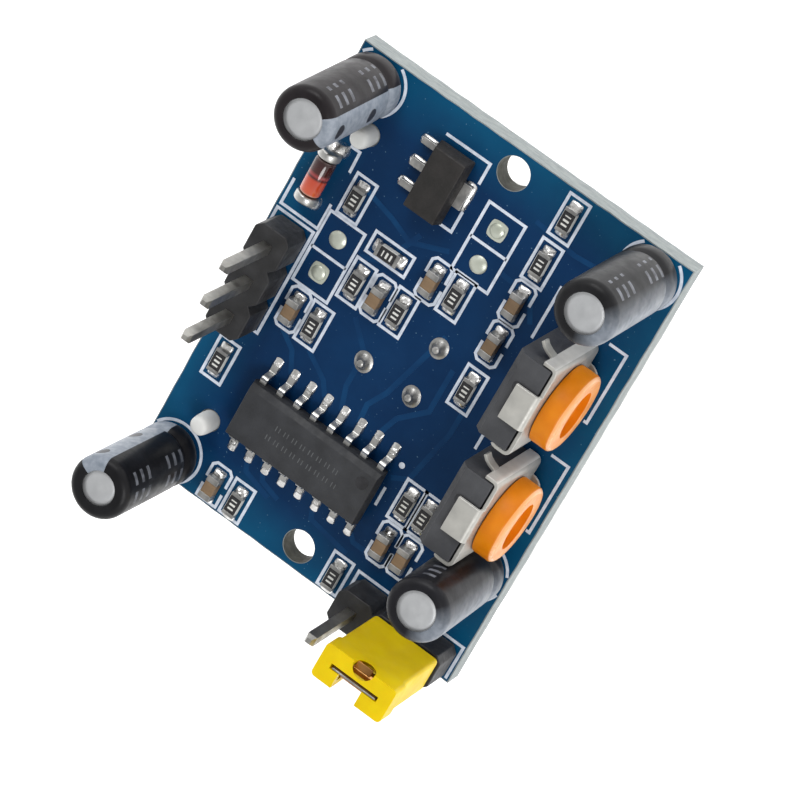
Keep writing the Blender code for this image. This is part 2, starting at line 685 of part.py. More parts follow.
def package_mesh(size, bottom):
    """A moulded block, widest at its mid height where its leads come out."""
    width, length, height = size
    bm = bmesh.new()
    middle = bottom + height / 2
    add_box(bm, (0, 0, middle), (width - 2 * CHIP_DRAFT, length - 2 * CHIP_DRAFT, height))
    everything = bm.verts[:] + bm.edges[:] + bm.faces[:]
    bmesh.ops.bisect_plane(bm, geom=everything, plane_co=(0, 0, middle), plane_no=(0, 0, 1))
    for vert in bm.verts:
        if abs(vert.co.z - middle) < WELD:
            vert.co.x += math.copysign(CHIP_DRAFT, vert.co.x)
            vert.co.y += math.copysign(CHIP_DRAFT, vert.co.y)
    return mesh_from(bm, "package")


def make_integrated_circuit():
    package = new_object("integrated_circuit", package_mesh(CHIP_BODY, CHIP_BOTTOM), PARTS,
                         "moulded_epoxy", at=(*CHIP_CENTRE, 0))
    first = -(CHIP_PINS_PER_SIDE - 1) * CHIP_PITCH / 2
    upright = Matrix.Rotation(math.radians(90), 4, "X")
    for side in (-1, 1):
        lead = outline_mesh("lead", gull_wing(side), CHIP_LEAD_WIDTH)
        bm = bmesh.new()
        for i in range(CHIP_PINS_PER_SIDE):
            before = len(bm.verts)
            bm.from_mesh(lead)
            bm.verts.ensure_lookup_table()
            stand = Matrix.Translation((0, first + i * CHIP_PITCH, 0)) @ upright
            bmesh.ops.transform(bm, matrix=stand, verts=bm.verts[before:])
        cut(package, mesh_from(bm, "leads"), "UNION")


def make_regulator():
    width, depth, height = REGULATOR_BODY
    body = box_mesh("package", [((0, 0, FIT_GAP + height / 2), (width, depth, height))])
    package = new_object("regulator", body, PARTS, "moulded_epoxy", at=(*REGULATOR_CENTRE, 0))
    thickness = REGULATOR_LEAD_THICKNESS
    lead_z = FIT_GAP + thickness / 2
    lead_y = -(depth + REGULATOR_LEAD_REACH - LEAD_BURY) / 2
    leads = []
    for i, lead_width in zip((-1, 0, 1), REGULATOR_LEAD_WIDTHS):
        leads.append(((i * REGULATOR_LEAD_PITCH, lead_y, lead_z),
                      (lead_width, REGULATOR_LEAD_REACH + LEAD_BURY, thickness)))
    tab_y = (depth + REGULATOR_TAB_REACH - LEAD_BURY) / 2
    leads.append(((0, tab_y, lead_z),
                  (REGULATOR_TAB_WIDTH, REGULATOR_TAB_REACH + LEAD_BURY, thickness)))
    cut(package, box_mesh("leads", leads), "UNION")


def make_diode():
    x, y = DIODE_CENTRE
    z = DIODE_CAP_RADIUS + FIT_GAP
    centre = (0, 0, 0)
    glass_length = DIODE_LENGTH - 2 * DIODE_CAP_LENGTH - 2 * FIT_GAP
    glass = cylinder_mesh("glass", [(centre, DIODE_RADIUS, glass_length, "X", DIODE_STEPS)])
    new_object("diode_glass", glass, PARTS, "diode_glass", at=(x, y, z))
    reach = (DIODE_LENGTH - DIODE_CAP_LENGTH) / 2
    for name, side in (("diode_end_1", -1), ("diode_end_2", 1)):
        end = cylinder_mesh("end", [(centre, DIODE_CAP_RADIUS, DIODE_CAP_LENGTH, "X", DIODE_STEPS)])
        item = new_object(name, end, PARTS, "tinned_metal", at=(x + side * reach, y, z))
        soften(item, DIODE_CAP_BEVEL)


def make_chips():
    number = 0
    for places, turn in ((RESISTORS_ALONG_X, 0.0), (RESISTORS_ALONG_Y, math.radians(90))):
        for x, y in places:
            number += 1
            body = box_mesh("resistor", [((0, 0, FIT_GAP + CHIP_RESISTOR[2] / 2), CHIP_RESISTOR)])
            new_object(f"resistor_{number:02d}", body, PARTS, "resistor_body",
                       at=(x * MM, y * MM, 0), turn=(0, 0, turn))
    for number, (x, y) in enumerate(CERAMICS, start=1):
        body = box_mesh("ceramic", [((0, 0, FIT_GAP + CHIP_CERAMIC[2] / 2), CHIP_CERAMIC)])
        new_object(f"ceramic_{number}", body, PARTS, "ceramic_body", at=(x * MM, y * MM, 0))


# ---------------------------------------------------------------- trimmers

def make_trimmer(number, x, plate_front):
    """A vertical trimmer: moulded base, sheet-metal frame in front, rotor turning about Y."""
    origin = (x, 0, TRIMMER_AXIS_Z)
    plate_back = plate_front - FRAME_THICKNESS
    make_trimmer_base(f"trimmer_{number}_base", plate_back - FIT_GAP, origin)
    make_trimmer_frame(f"trimmer_{number}_frame", plate_front, origin)
    make_trimmer_rotor(f"trimmer_{number}_rotor", plate_front + FIT_GAP, origin)


def make_trimmer_base(name, front, origin):
    bottom = FIT_GAP - TRIMMER_AXIS_Z
    top = TRIMMER_TOP - TRIMMER_AXIS_Z
    depth = TRIMMER_BASE_DEPTH
    block = box_mesh("block", [((0, front - depth / 2, (top + bottom) / 2),
                                (TRIMMER_BASE_WIDTH, depth, top - bottom))])
    base = new_object(name, block, PARTS, "trimmer_base", at=origin)
    soften(base, TRIMMER_BASE_BEVEL)
    recess_depth = ROTOR_HUB_LENGTH + FIT_GAP
    recess = ((0, front + (OVERRUN - recess_depth) / 2, 0), ROTOR_HUB_RADIUS + HUB_CLEARANCE,
              recess_depth + OVERRUN, "Y", TRIMMER_STEPS)
    cut(base, cylinder_mesh("recess", [recess]))


def make_trimmer_frame(name, front, origin):
    """A plate with a tab folded back over the base's top and a flange down each side."""
    base_top = TRIMMER_TOP - TRIMMER_AXIS_Z
    t = FRAME_THICKNESS
    top = base_top + FIT_GAP + t
    foot = FIT_GAP - TRIMMER_AXIS_Z + FRAME_LIFT
    flange_top = base_top - FIT_GAP
    plate = box_mesh("plate", [((0, front - t / 2, (top + foot) / 2), (FRAME_WIDTH, t, top - foot))])
    frame = new_object(name, plate, PARTS, "tinned_metal", at=origin)
    tab_width, tab_depth = FRAME_TAB
    folds = [((0, front - tab_depth / 2, top - t / 2), (tab_width, tab_depth, t))]
    corners = []
    for side in (-1, 1):
        folds.append(((side * (FRAME_WIDTH - t) / 2, front - FRAME_FLANGE / 2, (flange_top + foot) / 2),
                      (t, FRAME_FLANGE, flange_top - foot)))
        corners.append(((side * (tab_width + FRAME_WIDTH) / 2, front, top),
                        (FRAME_WIDTH, 4 * t, 2 * (top - flange_top))))
    cut(frame, box_mesh("folds", folds), "UNION")
    cut(frame, box_mesh("corners", corners))
    hub_hole = ((0, front, 0), ROTOR_HUB_RADIUS + HUB_CLEARANCE, 4 * t, "Y", TRIMMER_STEPS)
    cut(frame, cylinder_mesh("hub_hole", [hub_hole]))


def make_trimmer_rotor(name, back, origin):
    front = back + ROTOR_DEPTH
    hub_end = back - ROTOR_HUB_LENGTH
    r = ROTOR_RADIUS
    profile = [
        (0.0, front), (r - ROTOR_CHAMFER, front), (r, front - ROTOR_CHAMFER), (r, back),
        (ROTOR_HUB_RADIUS, back), (ROTOR_HUB_RADIUS, hub_end), (0.0, hub_end),
    ]
    rotor = turned(name, profile, PARTS, "rotor_plastic", TRIMMER_STEPS,
                   at=origin, turn=(math.radians(-90), 0, 0))
    for width, height in ROTOR_SLOTS:
        cut(rotor, box_mesh("slot", [((0, 0, front), (width, height, 2 * ROTOR_SLOT_DEPTH))]))


# ---------------------------------------------------------------- assembly

def main():
    make_board()
    make_lens()
    make_sensor()
    make_header("output", OUTPUT_HEADER_CENTRE, along_y=False)
    make_header("jumper", JUMPER_HEADER_CENTRE, along_y=True)
    make_shunt()
    for number, (x, y, lean_x, lean_y) in enumerate(CAPACITORS, start=1):
        make_electrolytic(number, x, y, lean_x, lean_y)
    make_integrated_circuit()
    make_regulator()
    make_diode()
    make_chips()
    for number, (x, plate_front) in enumerate(TRIMMERS, start=1):
        make_trimmer(number, x, plate_front)


clear_scene()
PARTS = new_collection("motion_sensor_module")
CUTTERS = new_collection("cutters")
MATERIALS = make_materials()
main()
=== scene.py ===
from math import asin, atan2, cos, degrees, exp, hypot, pi, radians, sin, sqrt

import bmesh
import bpy
from mathutils import Matrix, Vector


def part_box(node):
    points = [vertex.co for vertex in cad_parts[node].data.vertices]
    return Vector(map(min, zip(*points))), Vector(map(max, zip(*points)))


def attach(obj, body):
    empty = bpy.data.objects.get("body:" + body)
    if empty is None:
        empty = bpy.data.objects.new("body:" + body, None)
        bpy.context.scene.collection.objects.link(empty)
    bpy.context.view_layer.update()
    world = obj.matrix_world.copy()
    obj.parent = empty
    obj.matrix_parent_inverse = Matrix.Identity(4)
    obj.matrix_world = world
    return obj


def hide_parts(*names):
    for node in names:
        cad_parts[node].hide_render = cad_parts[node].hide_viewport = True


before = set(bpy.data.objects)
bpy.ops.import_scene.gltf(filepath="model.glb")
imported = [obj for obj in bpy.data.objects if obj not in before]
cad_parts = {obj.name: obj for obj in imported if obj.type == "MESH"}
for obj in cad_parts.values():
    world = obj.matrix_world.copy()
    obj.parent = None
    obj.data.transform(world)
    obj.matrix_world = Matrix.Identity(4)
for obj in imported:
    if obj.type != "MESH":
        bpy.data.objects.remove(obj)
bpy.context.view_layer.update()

MM = 0.001
BOARD = "board"


# ---- helpers

def box_mm(node):
    """Low and high corners of a CAD node, in millimetres."""
    low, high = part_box(node)
    return low / MM, high / MM


def centre_mm(node):
    low, high = box_mm(node)
    return (low + high) / 2


def finish_piece(name, bm, material, body=BOARD, at=(0, 0, 0), turn=(0, 0, 0), replaces=(),
                 smooth=35.0, bevel=0.0, segments=2, bevel_angle=30.0, materials=()):
    """Turns a bmesh drawn in millimetres about its own origin into a piece that rides on a body."""
    bmesh.ops.recalc_face_normals(bm, faces=bm.faces)
    bmesh.ops.scale(bm, vec=(MM, MM, MM), verts=bm.verts)
    mesh = bpy.data.meshes.new(name)
    bm.to_mesh(mesh)
    bm.free()
    for look in (material, *materials):
        mesh.materials.append(look)
    if smooth:
        mesh.shade_smooth()
        mesh.set_sharp_from_angle(angle=radians(smooth))
    piece = bpy.data.objects.new(name, mesh)
    bpy.context.scene.collection.objects.link(piece)
    piece.location = Vector(at) * MM
    piece.rotation_euler = turn
    if bevel:
        edges = piece.modifiers.new("Edges", "BEVEL")
        edges.width = bevel * MM
        edges.segments = segments
        edges.limit_method = "ANGLE"
        edges.angle_limit = radians(bevel_angle)
        edges.harden_normals = True
    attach(piece, body)
    if replaces:
        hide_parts(*replaces)
    return piece


def add_box(bm, low, high, material=0):
    """A box between two corners."""
    low, high = Vector(low), Vector(high)
    place = Matrix.Translation((low + high) / 2) @ Matrix.Diagonal((*(high - low), 1.0))
    made = bmesh.ops.create_cube(bm, size=1.0, matrix=place)
    for face in {face for vert in made["verts"] for face in vert.link_faces}:
        face.material_index = material
    return made["verts"]


def add_walls(bm, below, above, material=0):
    """A band of faces between two rings of as many points."""
    for i, corner in enumerate(below):
        j = (i + 1) % len(below)
        bm.faces.new((corner, below[j], above[j], above[i])).material_index = material


def add_prism(bm, outline, low, high, matrix=None):
    """An outline in XY raised from low to high along Z."""
    foot, head = [[bm.verts.new((x, y, z)) for x, y in outline] for z in (low, high)]
    bm.faces.new(foot[::-1])
    bm.faces.new(head)
    add_walls(bm, foot, head)
    if matrix is not None:
        bmesh.ops.transform(bm, matrix=matrix, verts=foot + head)
    return foot + head


def add_lathe(bm, profile, steps=32, matrix=None, material=0, closed=False):
    """Turns (radius, height) points about Z. Points on the axis close the shape."""
    rings = []
    for radius, height in profile:
        points = [(0, 0)] if radius < 1e-6 else circle(0, 0, radius, steps)
        rings.append([bm.verts.new((x, y, height)) for x, y in points])
    pairs = list(zip(rings, rings[1:]))
    if closed:
        pairs.append((rings[-1], rings[0]))
    for below, above in pairs:
        for i in range(steps):
            j = (i + 1) % steps
            corners = [below[i % len(below)], below[j % len(below)],
                       above[j % len(above)], above[i % len(above)]]
            corners = list(dict.fromkeys(corners))
            if len(corners) > 2:
                bm.faces.new(corners).material_index = material
    verts = [vert for ring in rings for vert in ring]
    if matrix is not None:
        bmesh.ops.transform(bm, matrix=matrix, verts=verts)
    return verts


def circle(x, y, radius, steps=28):
    return [(x + radius * cos(2 * pi * i / steps), y + radius * sin(2 * pi * i / steps))
            for i in range(steps)]


def arc(centre, radius, start, end, steps):
    angles = [radians(start + (end - start) * i / steps) for i in range(steps + 1)]
    return [(centre[0] + radius * cos(a), centre[1] + radius * sin(a)) for a in angles]


def rounded(low, high, radius, steps=4):
    """Outline of a rectangle with round corners."""
    (x0, y0), (x1, y1) = low, high
    points = []
    corners = ((x1, y1, -1, -1), (x0, y1, 1, -1), (x0, y0, 1, 1), (x1, y0, -1, 1))
    for quarter, (x, y, sx, sy) in enumerate(corners):
        points += arc((x + sx * radius, y + sy * radius), radius, 90 * quarter, 90 * quarter + 90, steps)
    return points


def mitred(points, width, closed=False, least=0.5):
    """Left and right edges of a band of even width along a line in a plane, with mitred corners."""
    points = [Vector(point) for point in points]
    edges = []
    for i, point in enumerate(points):
        ways = []
        if closed or i:
            ways.append((point - points[i - 1]).normalized())
        if closed or i + 1 < len(points):
            ways.append((points[(i + 1) % len(points)] - point).normalized())
        way = sum(ways, Vector((0, 0))).normalized()
        across = Vector((-way.y, way.x))
        offset = across * width / 2 / max(least, across.dot(Vector((-ways[0].y, ways[0].x))))
        edges.append((point + offset, point - offset))
    return edges


def add_band(bm, rings, closed=False, material=0):
    """Faces along rings of four corners, with both ends shut unless the band meets itself."""
    pairs = list(zip(rings, rings[1:]))
    if closed:
        pairs.append((rings[-1], rings[0]))
    else:
        bm.faces.new(rings[0]).material_index = material
        bm.faces.new(rings[-1][::-1]).material_index = material
    for a, b in pairs:
        for i in range(4):
            j = (i + 1) % 4
            bm.faces.new((a[i], b[i], b[j], a[j])).material_index = material


def add_ribbon(bm, points, width, low, high, closed=False):
    """A flat ribbon along a line in XY, raised from low to high."""
    rings = []
    for left, right in mitred(points, width, closed):
        corners = ((left, low), (left, high), (right, high), (right, low))
        rings.append([bm.verts.new((p.x, p.y, z)) for p, z in corners])
    add_band(bm, rings, closed)


# ---- materials

class Shade:
    """Builds one node-based material."""

    def __init__(self, name):
        self.material = bpy.data.materials.new(name)
        self.material.use_nodes = True
        self.tree = self.material.node_tree
        self.shader = self.tree.nodes["Principled BSDF"]
        self.coords = self.node("ShaderNodeTexCoord").outputs["Object"]

    def node(self, kind, **settings):
        made = self.tree.nodes.new(kind)
        for key, value in settings.items():
            setattr(made, key, value)
        return made

    def link(self, source, target):
        self.tree.links.new(source, target)

    def set(self, socket, value):
        self.shader.inputs[socket].default_value = value

    def noise(self, scale, detail=3.0, roughness=0.5, stretch=None):
        """Noise whose scale is in features per millimetre."""
        noise = self.node("ShaderNodeTexNoise")
        noise.inputs["Scale"].default_value = scale / MM
        noise.inputs["Detail"].default_value = detail
        noise.inputs["Roughness"].default_value = roughness
        source = self.coords
        if stretch:
            mapping = self.node("ShaderNodeMapping")
            mapping.inputs["Scale"].default_value = stretch
            self.link(source, mapping.inputs["Vector"])
            source = mapping.outputs["Vector"]
        self.link(source, noise.inputs["Vector"])
        return noise.outputs["Fac"]

    def ramp(self, source, stops):
        """A colour or a value that follows a source: stops are (position, colour or number)."""
        ramp = self.node("ShaderNodeValToRGB")
        elements = ramp.color_ramp.elements
        while len(elements) < len(stops):
            elements.new(0.5)
        for element, (position, value) in zip(elements, stops):
            element.position = position
            element.color = (value, value, value, 1.0) if isinstance(value, (int, float)) else (*value, 1.0)
        self.link(source, ramp.inputs["Fac"])
        return ramp.outputs["Color"]

    def between(self, source, low, high):
        """From one colour or value to another over the middle of a noise's range."""
        return self.ramp(source, [(0.3, low), (0.7, high)])

    def rough(self, source, low, high):
        self.link(self.between(source, low, high), self.shader.inputs["Roughness"])

    def math(self, operation, a, b=None):
        node = self.node("ShaderNodeMath", operation=operation)
        for socket, value in zip(node.inputs, (a, b)):
            if isinstance(value, (int, float)):
                socket.default_value = value
            elif value is not None:
                self.link(value, socket)
        return node.outputs[0]

    def mix(self, factor, a, b):
        node = self.node("ShaderNodeMix", data_type="RGBA")
        for socket, value in ((node.inputs[0], factor), (node.inputs[6], a), (node.inputs[7], b)):
            if isinstance(value, (int, float)):
                socket.default_value = value
            elif isinstance(value, tuple):
                socket.default_value = (*value, 1.0)
            else:
                self.link(value, socket)
        return node.outputs[2]

    def axes(self):
        split = self.node("ShaderNodeSeparateXYZ")
        self.link(self.coords, split.inputs[0])
        return split.outputs

    def colour(self, value):
        if isinstance(value, tuple):
            self.set("Base Color", (*value, 1.0))
        else:
            self.link(value, self.shader.inputs["Base Color"])

    def bump(self, height, strength, distance):
        """Bump from a height source; the distance is in millimetres."""
        bump = self.node("ShaderNodeBump")
        bump.inputs["Strength"].default_value = strength
        bump.inputs["Distance"].default_value = distance * MM
        self.link(height, bump.inputs["Height"])
        self.link(bump.outputs["Normal"], self.shader.inputs["Normal"])


def speckled(name, dark, light, scale, roughness, grain, metallic=0.0, coat=0.0, **sockets):
    """A surface whose colour, gloss and fine relief all vary with noise."""
    shade = Shade(name)
    shade.colour(shade.between(shade.noise(scale, 4.0), dark, light))
    shade.rough(shade.noise(scale * 2.3), *roughness)
    shade.set("Metallic", metallic)
    if coat:
        shade.set("Coat Weight", coat)
        shade.set("Coat Roughness", 0.15)
    grain_scale, strength, distance = grain
    shade.bump(shade.noise(grain_scale, 2.0), strength, distance)
    for socket, value in sockets.items():
        shade.set(socket.replace("_", " "), value)
    return shade.material


def board_edge():
    """Glass fibre and resin: pale, with fine layers along the board."""
    shade = Shade("fibre_board")
    layers = shade.noise(1.2, 5.0, 0.7, stretch=(0.8, 0.8, 5.0))
    shade.colour(shade.between(layers, (0.21, 0.235, 0.235), (0.36, 0.39, 0.385)))
    shade.rough(shade.noise(3.0), 0.55, 0.8)
    shade.bump(layers, 0.5, 0.05)
    return shade.material


def solder_mask():
    """Blue lacquer: deep over the copper, thinner and greener along the board's bare margins."""
    shade = Shade("solder_mask")
    do = shade.math
    x, y = shade.axes()[0:2]
    cloud = shade.noise(0.16, 5.0, 0.6)
    deep = shade.between(cloud, (0.0012, 0.021, 0.074), (0.003, 0.034, 0.108))
    from_x = do("SUBTRACT", 15.5 * MM, do("ABSOLUTE", x))
    from_y = do("SUBTRACT", 12.0 * MM, do("ABSOLUTE", y))
    nearest = do("MINIMUM", from_x, from_y)
    wavy = do("ADD", nearest, do("MULTIPLY", shade.noise(0.25, 3.0), 1.6 * MM))
    near = do("SUBTRACT", 1.0, do("DIVIDE", wavy, 4.4 * MM))
    faint = shade.ramp(near, [(0.0, 0.0), (0.75, 0.85)])
    bare = shade.between(shade.noise(0.3, 4.0), (0.001, 0.058, 0.135), (0.002, 0.085, 0.180))
    tone = shade.mix(faint, deep, bare)
    dust = shade.ramp(shade.noise(5.5, 1.0, 0.4), [(0.745, 0.0), (0.78, 0.5)])
    shade.colour(shade.mix(dust, tone, (0.16, 0.30, 0.42)))
    shade.rough(shade.noise(0.5, 4.0), 0.28, 0.46)
    shade.set("Specular IOR Level", 0.13)
    shade.bump(shade.noise(2.5, 3.0), 0.14, 0.03)
    return shade.material


def solder():
    shade = Shade("solder")
    cloud = shade.noise(1.6, 4.0)
    shade.colour(shade.ramp(cloud, [(0.3, (0.62, 0.61, 0.59)), (0.6, (0.93, 0.92, 0.90))]))
    shade.rough(shade.noise(3.5), 0.16, 0.38)
    shade.set("Metallic", 1.0)
    shade.bump(shade.noise(2.2, 3.0), 0.6, 0.12)
    return shade.material


def sleeve(name, stripe_and_sheen_angle, stripe_and_sheen_half, base, lean, marked, bars_angle):
    """Shrunk film: dark, with a pale band along the leaning can: on marked cans the printed stripe, crisp with
    oval marks; on the others a soft painted highlight.

    Short worn bars, meaning nothing, stand in for the printing on the dark side.
    """
    shade = Shade(name)
    do = shade.math
    x, y, z = shade.axes()[0:3]
    across_x = do("SUBTRACT", x, do("MULTIPLY", z, lean.x / lean.z))
    across_y = do("SUBTRACT", y, do("MULTIPLY", z, lean.y / lean.z))
    angle = do("ARCTAN2", across_y, across_x)
    turned = do("SUBTRACT", angle, radians(stripe_and_sheen_angle))
    wrapped = do("PINGPONG", do("ABSOLUTE", turned), pi)
    # the pale band: a crisp printed stripe on marked cans; on the others a soft painted highlight that fades
    # away from the lit silhouette
    if marked:
        in_stripe_and_sheen = do("LESS_THAN", wrapped, radians(stripe_and_sheen_half))
    else:
        in_stripe_and_sheen = shade.ramp(do("DIVIDE", wrapped, radians(stripe_and_sheen_half)),
                               [(0.25, 0.75), (0.65, 0.35), (1.0, 0.0)])
    cell = do("DIVIDE", do("PINGPONG", z, 2.1 * MM), 0.5 * MM)
    side = do("DIVIDE", wrapped, radians(stripe_and_sheen_half * 0.42))
    oval = do("ADD", do("MULTIPLY", cell, cell), do("MULTIPLY", side, side))
    mark = do("LESS_THAN", oval, 1.0)
    cloud = shade.between(shade.noise(0.9, 3.0), base, tuple(1.8 * c for c in base))
    # pale colour of the band: the stripe's print on marked cans, a painted highlight on the others
    pale_print_and_sheen = shade.between(shade.noise(2.5, 3.0), (0.19, 0.22, 0.26), (0.30, 0.33, 0.38))
    stripe_and_sheen_colour = shade.mix(mark, pale_print_and_sheen, (0.03, 0.032, 0.04)) if marked else pale_print_and_sheen
    off_bars = do("ABSOLUTE", do("SUBTRACT", angle, radians(bars_angle)))
    row = do("LESS_THAN", do("PINGPONG", do("SUBTRACT", off_bars, 0.30), 0.30), 0.20)
    near = do("LESS_THAN", off_bars, 0.62)
    dash = do("LESS_THAN", do("PINGPONG", z, 0.42 * MM), 0.16 * MM)
    band = do("LESS_THAN", do("PINGPONG", do("ADD", z, 0.6 * MM), 2.0 * MM), 1.3 * MM)
    below_top = do("LESS_THAN", z, 8.6 * MM)
    bars = shade.ramp(shade.noise(1.8, 4.0), [(0.3, 0.15), (0.6, 0.9)])
    for factor in (row, near, dash, band, below_top):
        bars = do("MULTIPLY", bars, factor)
    film = shade.mix(bars, cloud, (0.20, 0.21, 0.24))
    shade.colour(shade.mix(in_stripe_and_sheen, film, stripe_and_sheen_colour))
    shade.rough(shade.noise(1.4), 0.30, 0.44)
    shade.set("Specular IOR Level", 0.20)
    shade.bump(shade.noise(1.2, 3.0), 0.25, 0.08)
    return shade.material


def diode_glass():
    """The glass body seen with what is sealed in it: a dark slug at one end, a red one at the other."""
    shade = Shade("diode_glass")
    x = shade.axes()[0]
    along = shade.math("DIVIDE", x, 2.6 * MM)
    place = shade.math("ADD", along, 0.5)
    shade.colour(shade.ramp(place, [
        (0.0, (0.16, 0.12, 0.11)), (0.08, (0.035, 0.008, 0.008)), (0.36, (0.06, 0.012, 0.010)),
        (0.44, (0.34, 0.05, 0.05)), (0.50, (0.05, 0.008, 0.008)), (0.56, (0.50, 0.055, 0.022)),
        (0.90, (0.58, 0.085, 0.03)), (1.0, (0.42, 0.34, 0.26))]))
    shade.rough(shade.noise(2.0), 0.05, 0.12)
    shade.set("Coat Weight", 0.6)
    shade.set("Coat Roughness", 0.03)
    return shade.material


def lens_plastic():
    """Milky polyethylene that lets some light through."""
    shade = Shade("lens_plastic")
    cloud = shade.noise(0.25, 4.0)
    shade.colour(shade.between(cloud, (0.70, 0.71, 0.69), (0.80, 0.80, 0.78)))
    shade.rough(shade.noise(1.0), 0.34, 0.5)
    shade.set("Subsurface Weight", 0.25)
    shade.set("Subsurface Radius", (0.002, 0.002, 0.002))
    shade.set("Subsurface Scale", 0.4)
    shade.set("Transmission Weight", 0.1)
    shade.set("IOR", 1.5)
    shade.bump(shade.noise(5.0, 2.0), 0.12, 0.03)
    return shade.material


MASK = solder_mask()
TRACE = speckled("masked_copper", (0.003, 0.028, 0.092), (0.005, 0.052, 0.150), 0.35,
                 (0.3, 0.45), (2.5, 0.12, 0.03), Specular_IOR_Level=0.13)
LEGEND = speckled("legend_ink", (0.52, 0.58, 0.68), (0.74, 0.79, 0.88), 2.2,
                  (0.45, 0.6), (7.0, 0.3, 0.02))
FIBRE = board_edge()
SOLDER = solder()
TIN = speckled("tinned_metal", (0.44, 0.44, 0.42), (0.70, 0.69, 0.67), 0.8,
               (0.28, 0.45), (3.0, 0.25, 0.04), metallic=1.0)
PIN = speckled("pin_metal", (0.26, 0.255, 0.24), (0.50, 0.49, 0.46), 0.9,
               (0.3, 0.5), (3.0, 0.3, 0.04), metallic=1.0)
HEADER = speckled("header_plastic", (0.009, 0.009, 0.010), (0.025, 0.025, 0.027), 0.8,
                  (0.4, 0.62), (2.2, 0.55, 0.07))
EPOXY = speckled("moulded_epoxy", (0.016, 0.017, 0.020), (0.033, 0.035, 0.040), 0.7,
                 (0.5, 0.7), (9.0, 0.4, 0.03))
DARK_EPOXY = speckled("transistor_epoxy", (0.007, 0.006, 0.005), (0.018, 0.015, 0.014), 0.9,
                      (0.5, 0.75), (4.0, 0.6, 0.05))
# the drilled walls of the holes: the board's fibre painted nearly black, a painted shade inside the holes
HOLE_SHADE = speckled("shaded_drilled_wall", (0.03, 0.03, 0.024), (0.09, 0.09, 0.07), 1.2,
                     (0.6, 0.8), (4.0, 0.4, 0.04))
TRIMMER_BLACK = speckled("trimmer_base", (0.03, 0.031, 0.035), (0.058, 0.06, 0.066), 0.6,
                         (0.42, 0.6), (6.0, 0.35, 0.04))
TRIMMER_METAL = speckled("trimmer_frame", (0.40, 0.395, 0.37), (0.56, 0.55, 0.51), 0.7,
                         (0.35, 0.52), (4.0, 0.25, 0.03), metallic=0.6)
ORANGE = speckled("rotor_plastic", (0.64, 0.178, 0.0), (0.77, 0.25, 0.002), 0.5,
                  (0.34, 0.5), (3.0, 0.2, 0.04), Specular_IOR_Level=0.3,
                  Subsurface_Weight=0.08, Subsurface_Scale=0.0005)
YELLOW = speckled("shunt_plastic", (0.66, 0.46, 0.0), (0.78, 0.57, 0.0), 0.5,
                  (0.35, 0.5), (2.5, 0.2, 0.04), Specular_IOR_Level=0.2,
                  Subsurface_Weight=0.1, Subsurface_Scale=0.0008)
BRASS = speckled("brass_contact", (0.26, 0.11, 0.03), (0.56, 0.30, 0.11), 0.9,
                 (0.25, 0.45), (3.0, 0.25, 0.03), metallic=1.0)
ALUMINIUM = speckled("aluminium_can", (0.48, 0.49, 0.50), (0.60, 0.61, 0.62), 0.7,
                     (0.38, 0.55), (6.0, 0.25, 0.03), metallic=0.7)
RUBBER = speckled("bung_rubber", (0.02, 0.02, 0.02), (0.04, 0.04, 0.04), 1.0,
                  (0.6, 0.8), (5.0, 0.3, 0.03))
GLAZE = speckled("resistor_body", (0.008, 0.008, 0.010), (0.022, 0.022, 0.026), 1.2,
                 (0.25, 0.42), (6.0, 0.2, 0.02), coat=0.2)
ALUMINA = speckled("resistor_ceramic", (0.6, 0.6, 0.57), (0.78, 0.78, 0.74), 1.2,
                   (0.5, 0.7), (8.0, 0.3, 0.02))
CERAMIC = speckled("ceramic_body", (0.15, 0.095, 0.05), (0.26, 0.17, 0.095), 1.0,
                   (0.4, 0.6), (6.0, 0.3, 0.02))
NICKEL = speckled("nickel_can", (0.45, 0.44, 0.41), (0.66, 0.65, 0.61), 0.4,
                  (0.2, 0.34), (2.0, 0.15, 0.03), metallic=1.0)
GOLD = speckled("gold_header", (0.55, 0.38, 0.14), (0.80, 0.60, 0.28), 0.5,
                (0.25, 0.4), (3.0, 0.2, 0.03), metallic=1.0)
WINDOW = speckled("silicon_window", (0.03, 0.022, 0.04), (0.07, 0.05, 0.09), 0.3,
                  (0.08, 0.16), (1.0, 0.05, 0.02), coat=0.6)
SENSOR_CERAMIC = speckled("sensor_ceramic", (0.62, 0.57, 0.46), (0.78, 0.74, 0.64), 0.6,
                          (0.5, 0.7), (6.0, 0.3, 0.03))
LASER = speckled("laser_marks", (0.065, 0.068, 0.072), (0.105, 0.11, 0.115), 1.5, (0.6, 0.75), (8.0, 0.3, 0.01))
# the next two are the rotor's orange made paler: a painted highlight for the front chamfer, and painted light
# for the flat front face
RIM_HIGHLIGHT = speckled("rotor_rim_highlight", (0.78, 0.32, 0.08), (0.88, 0.46, 0.22), 0.5,
               (0.25, 0.4), (3.0, 0.15, 0.03), coat=0.2)
LIT_ROTOR_FACE = speckled("lit_rotor_face", (0.70, 0.23, 0.02), (0.80, 0.33, 0.07), 0.9,
                 (0.3, 0.45), (3.0, 0.15, 0.03), coat=0.1)
# the frame metal again, paler and less metallic, for faces turned to -X: painted light on that side, not a
# second metal
FLANGE_LIGHTING = speckled("frame_flange_lighting", (0.64, 0.63, 0.60), (0.82, 0.81, 0.77), 0.8,
                  (0.35, 0.5), (3.0, 0.3, 0.03), metallic=0.4)
CHIP_END = speckled("chip_end", (0.26, 0.26, 0.255), (0.50, 0.49, 0.47), 1.4,
                    (0.3, 0.5), (4.0, 0.4, 0.04), metallic=0.9)
PAD = speckled("tinned_pad", (0.50, 0.53, 0.44), (0.70, 0.73, 0.64), 1.1,
               (0.3, 0.45), (2.5, 0.3, 0.04), metallic=0.55)
GLASS = diode_glass()
LENS = lens_plastic()


# ---- solder heaps and joints

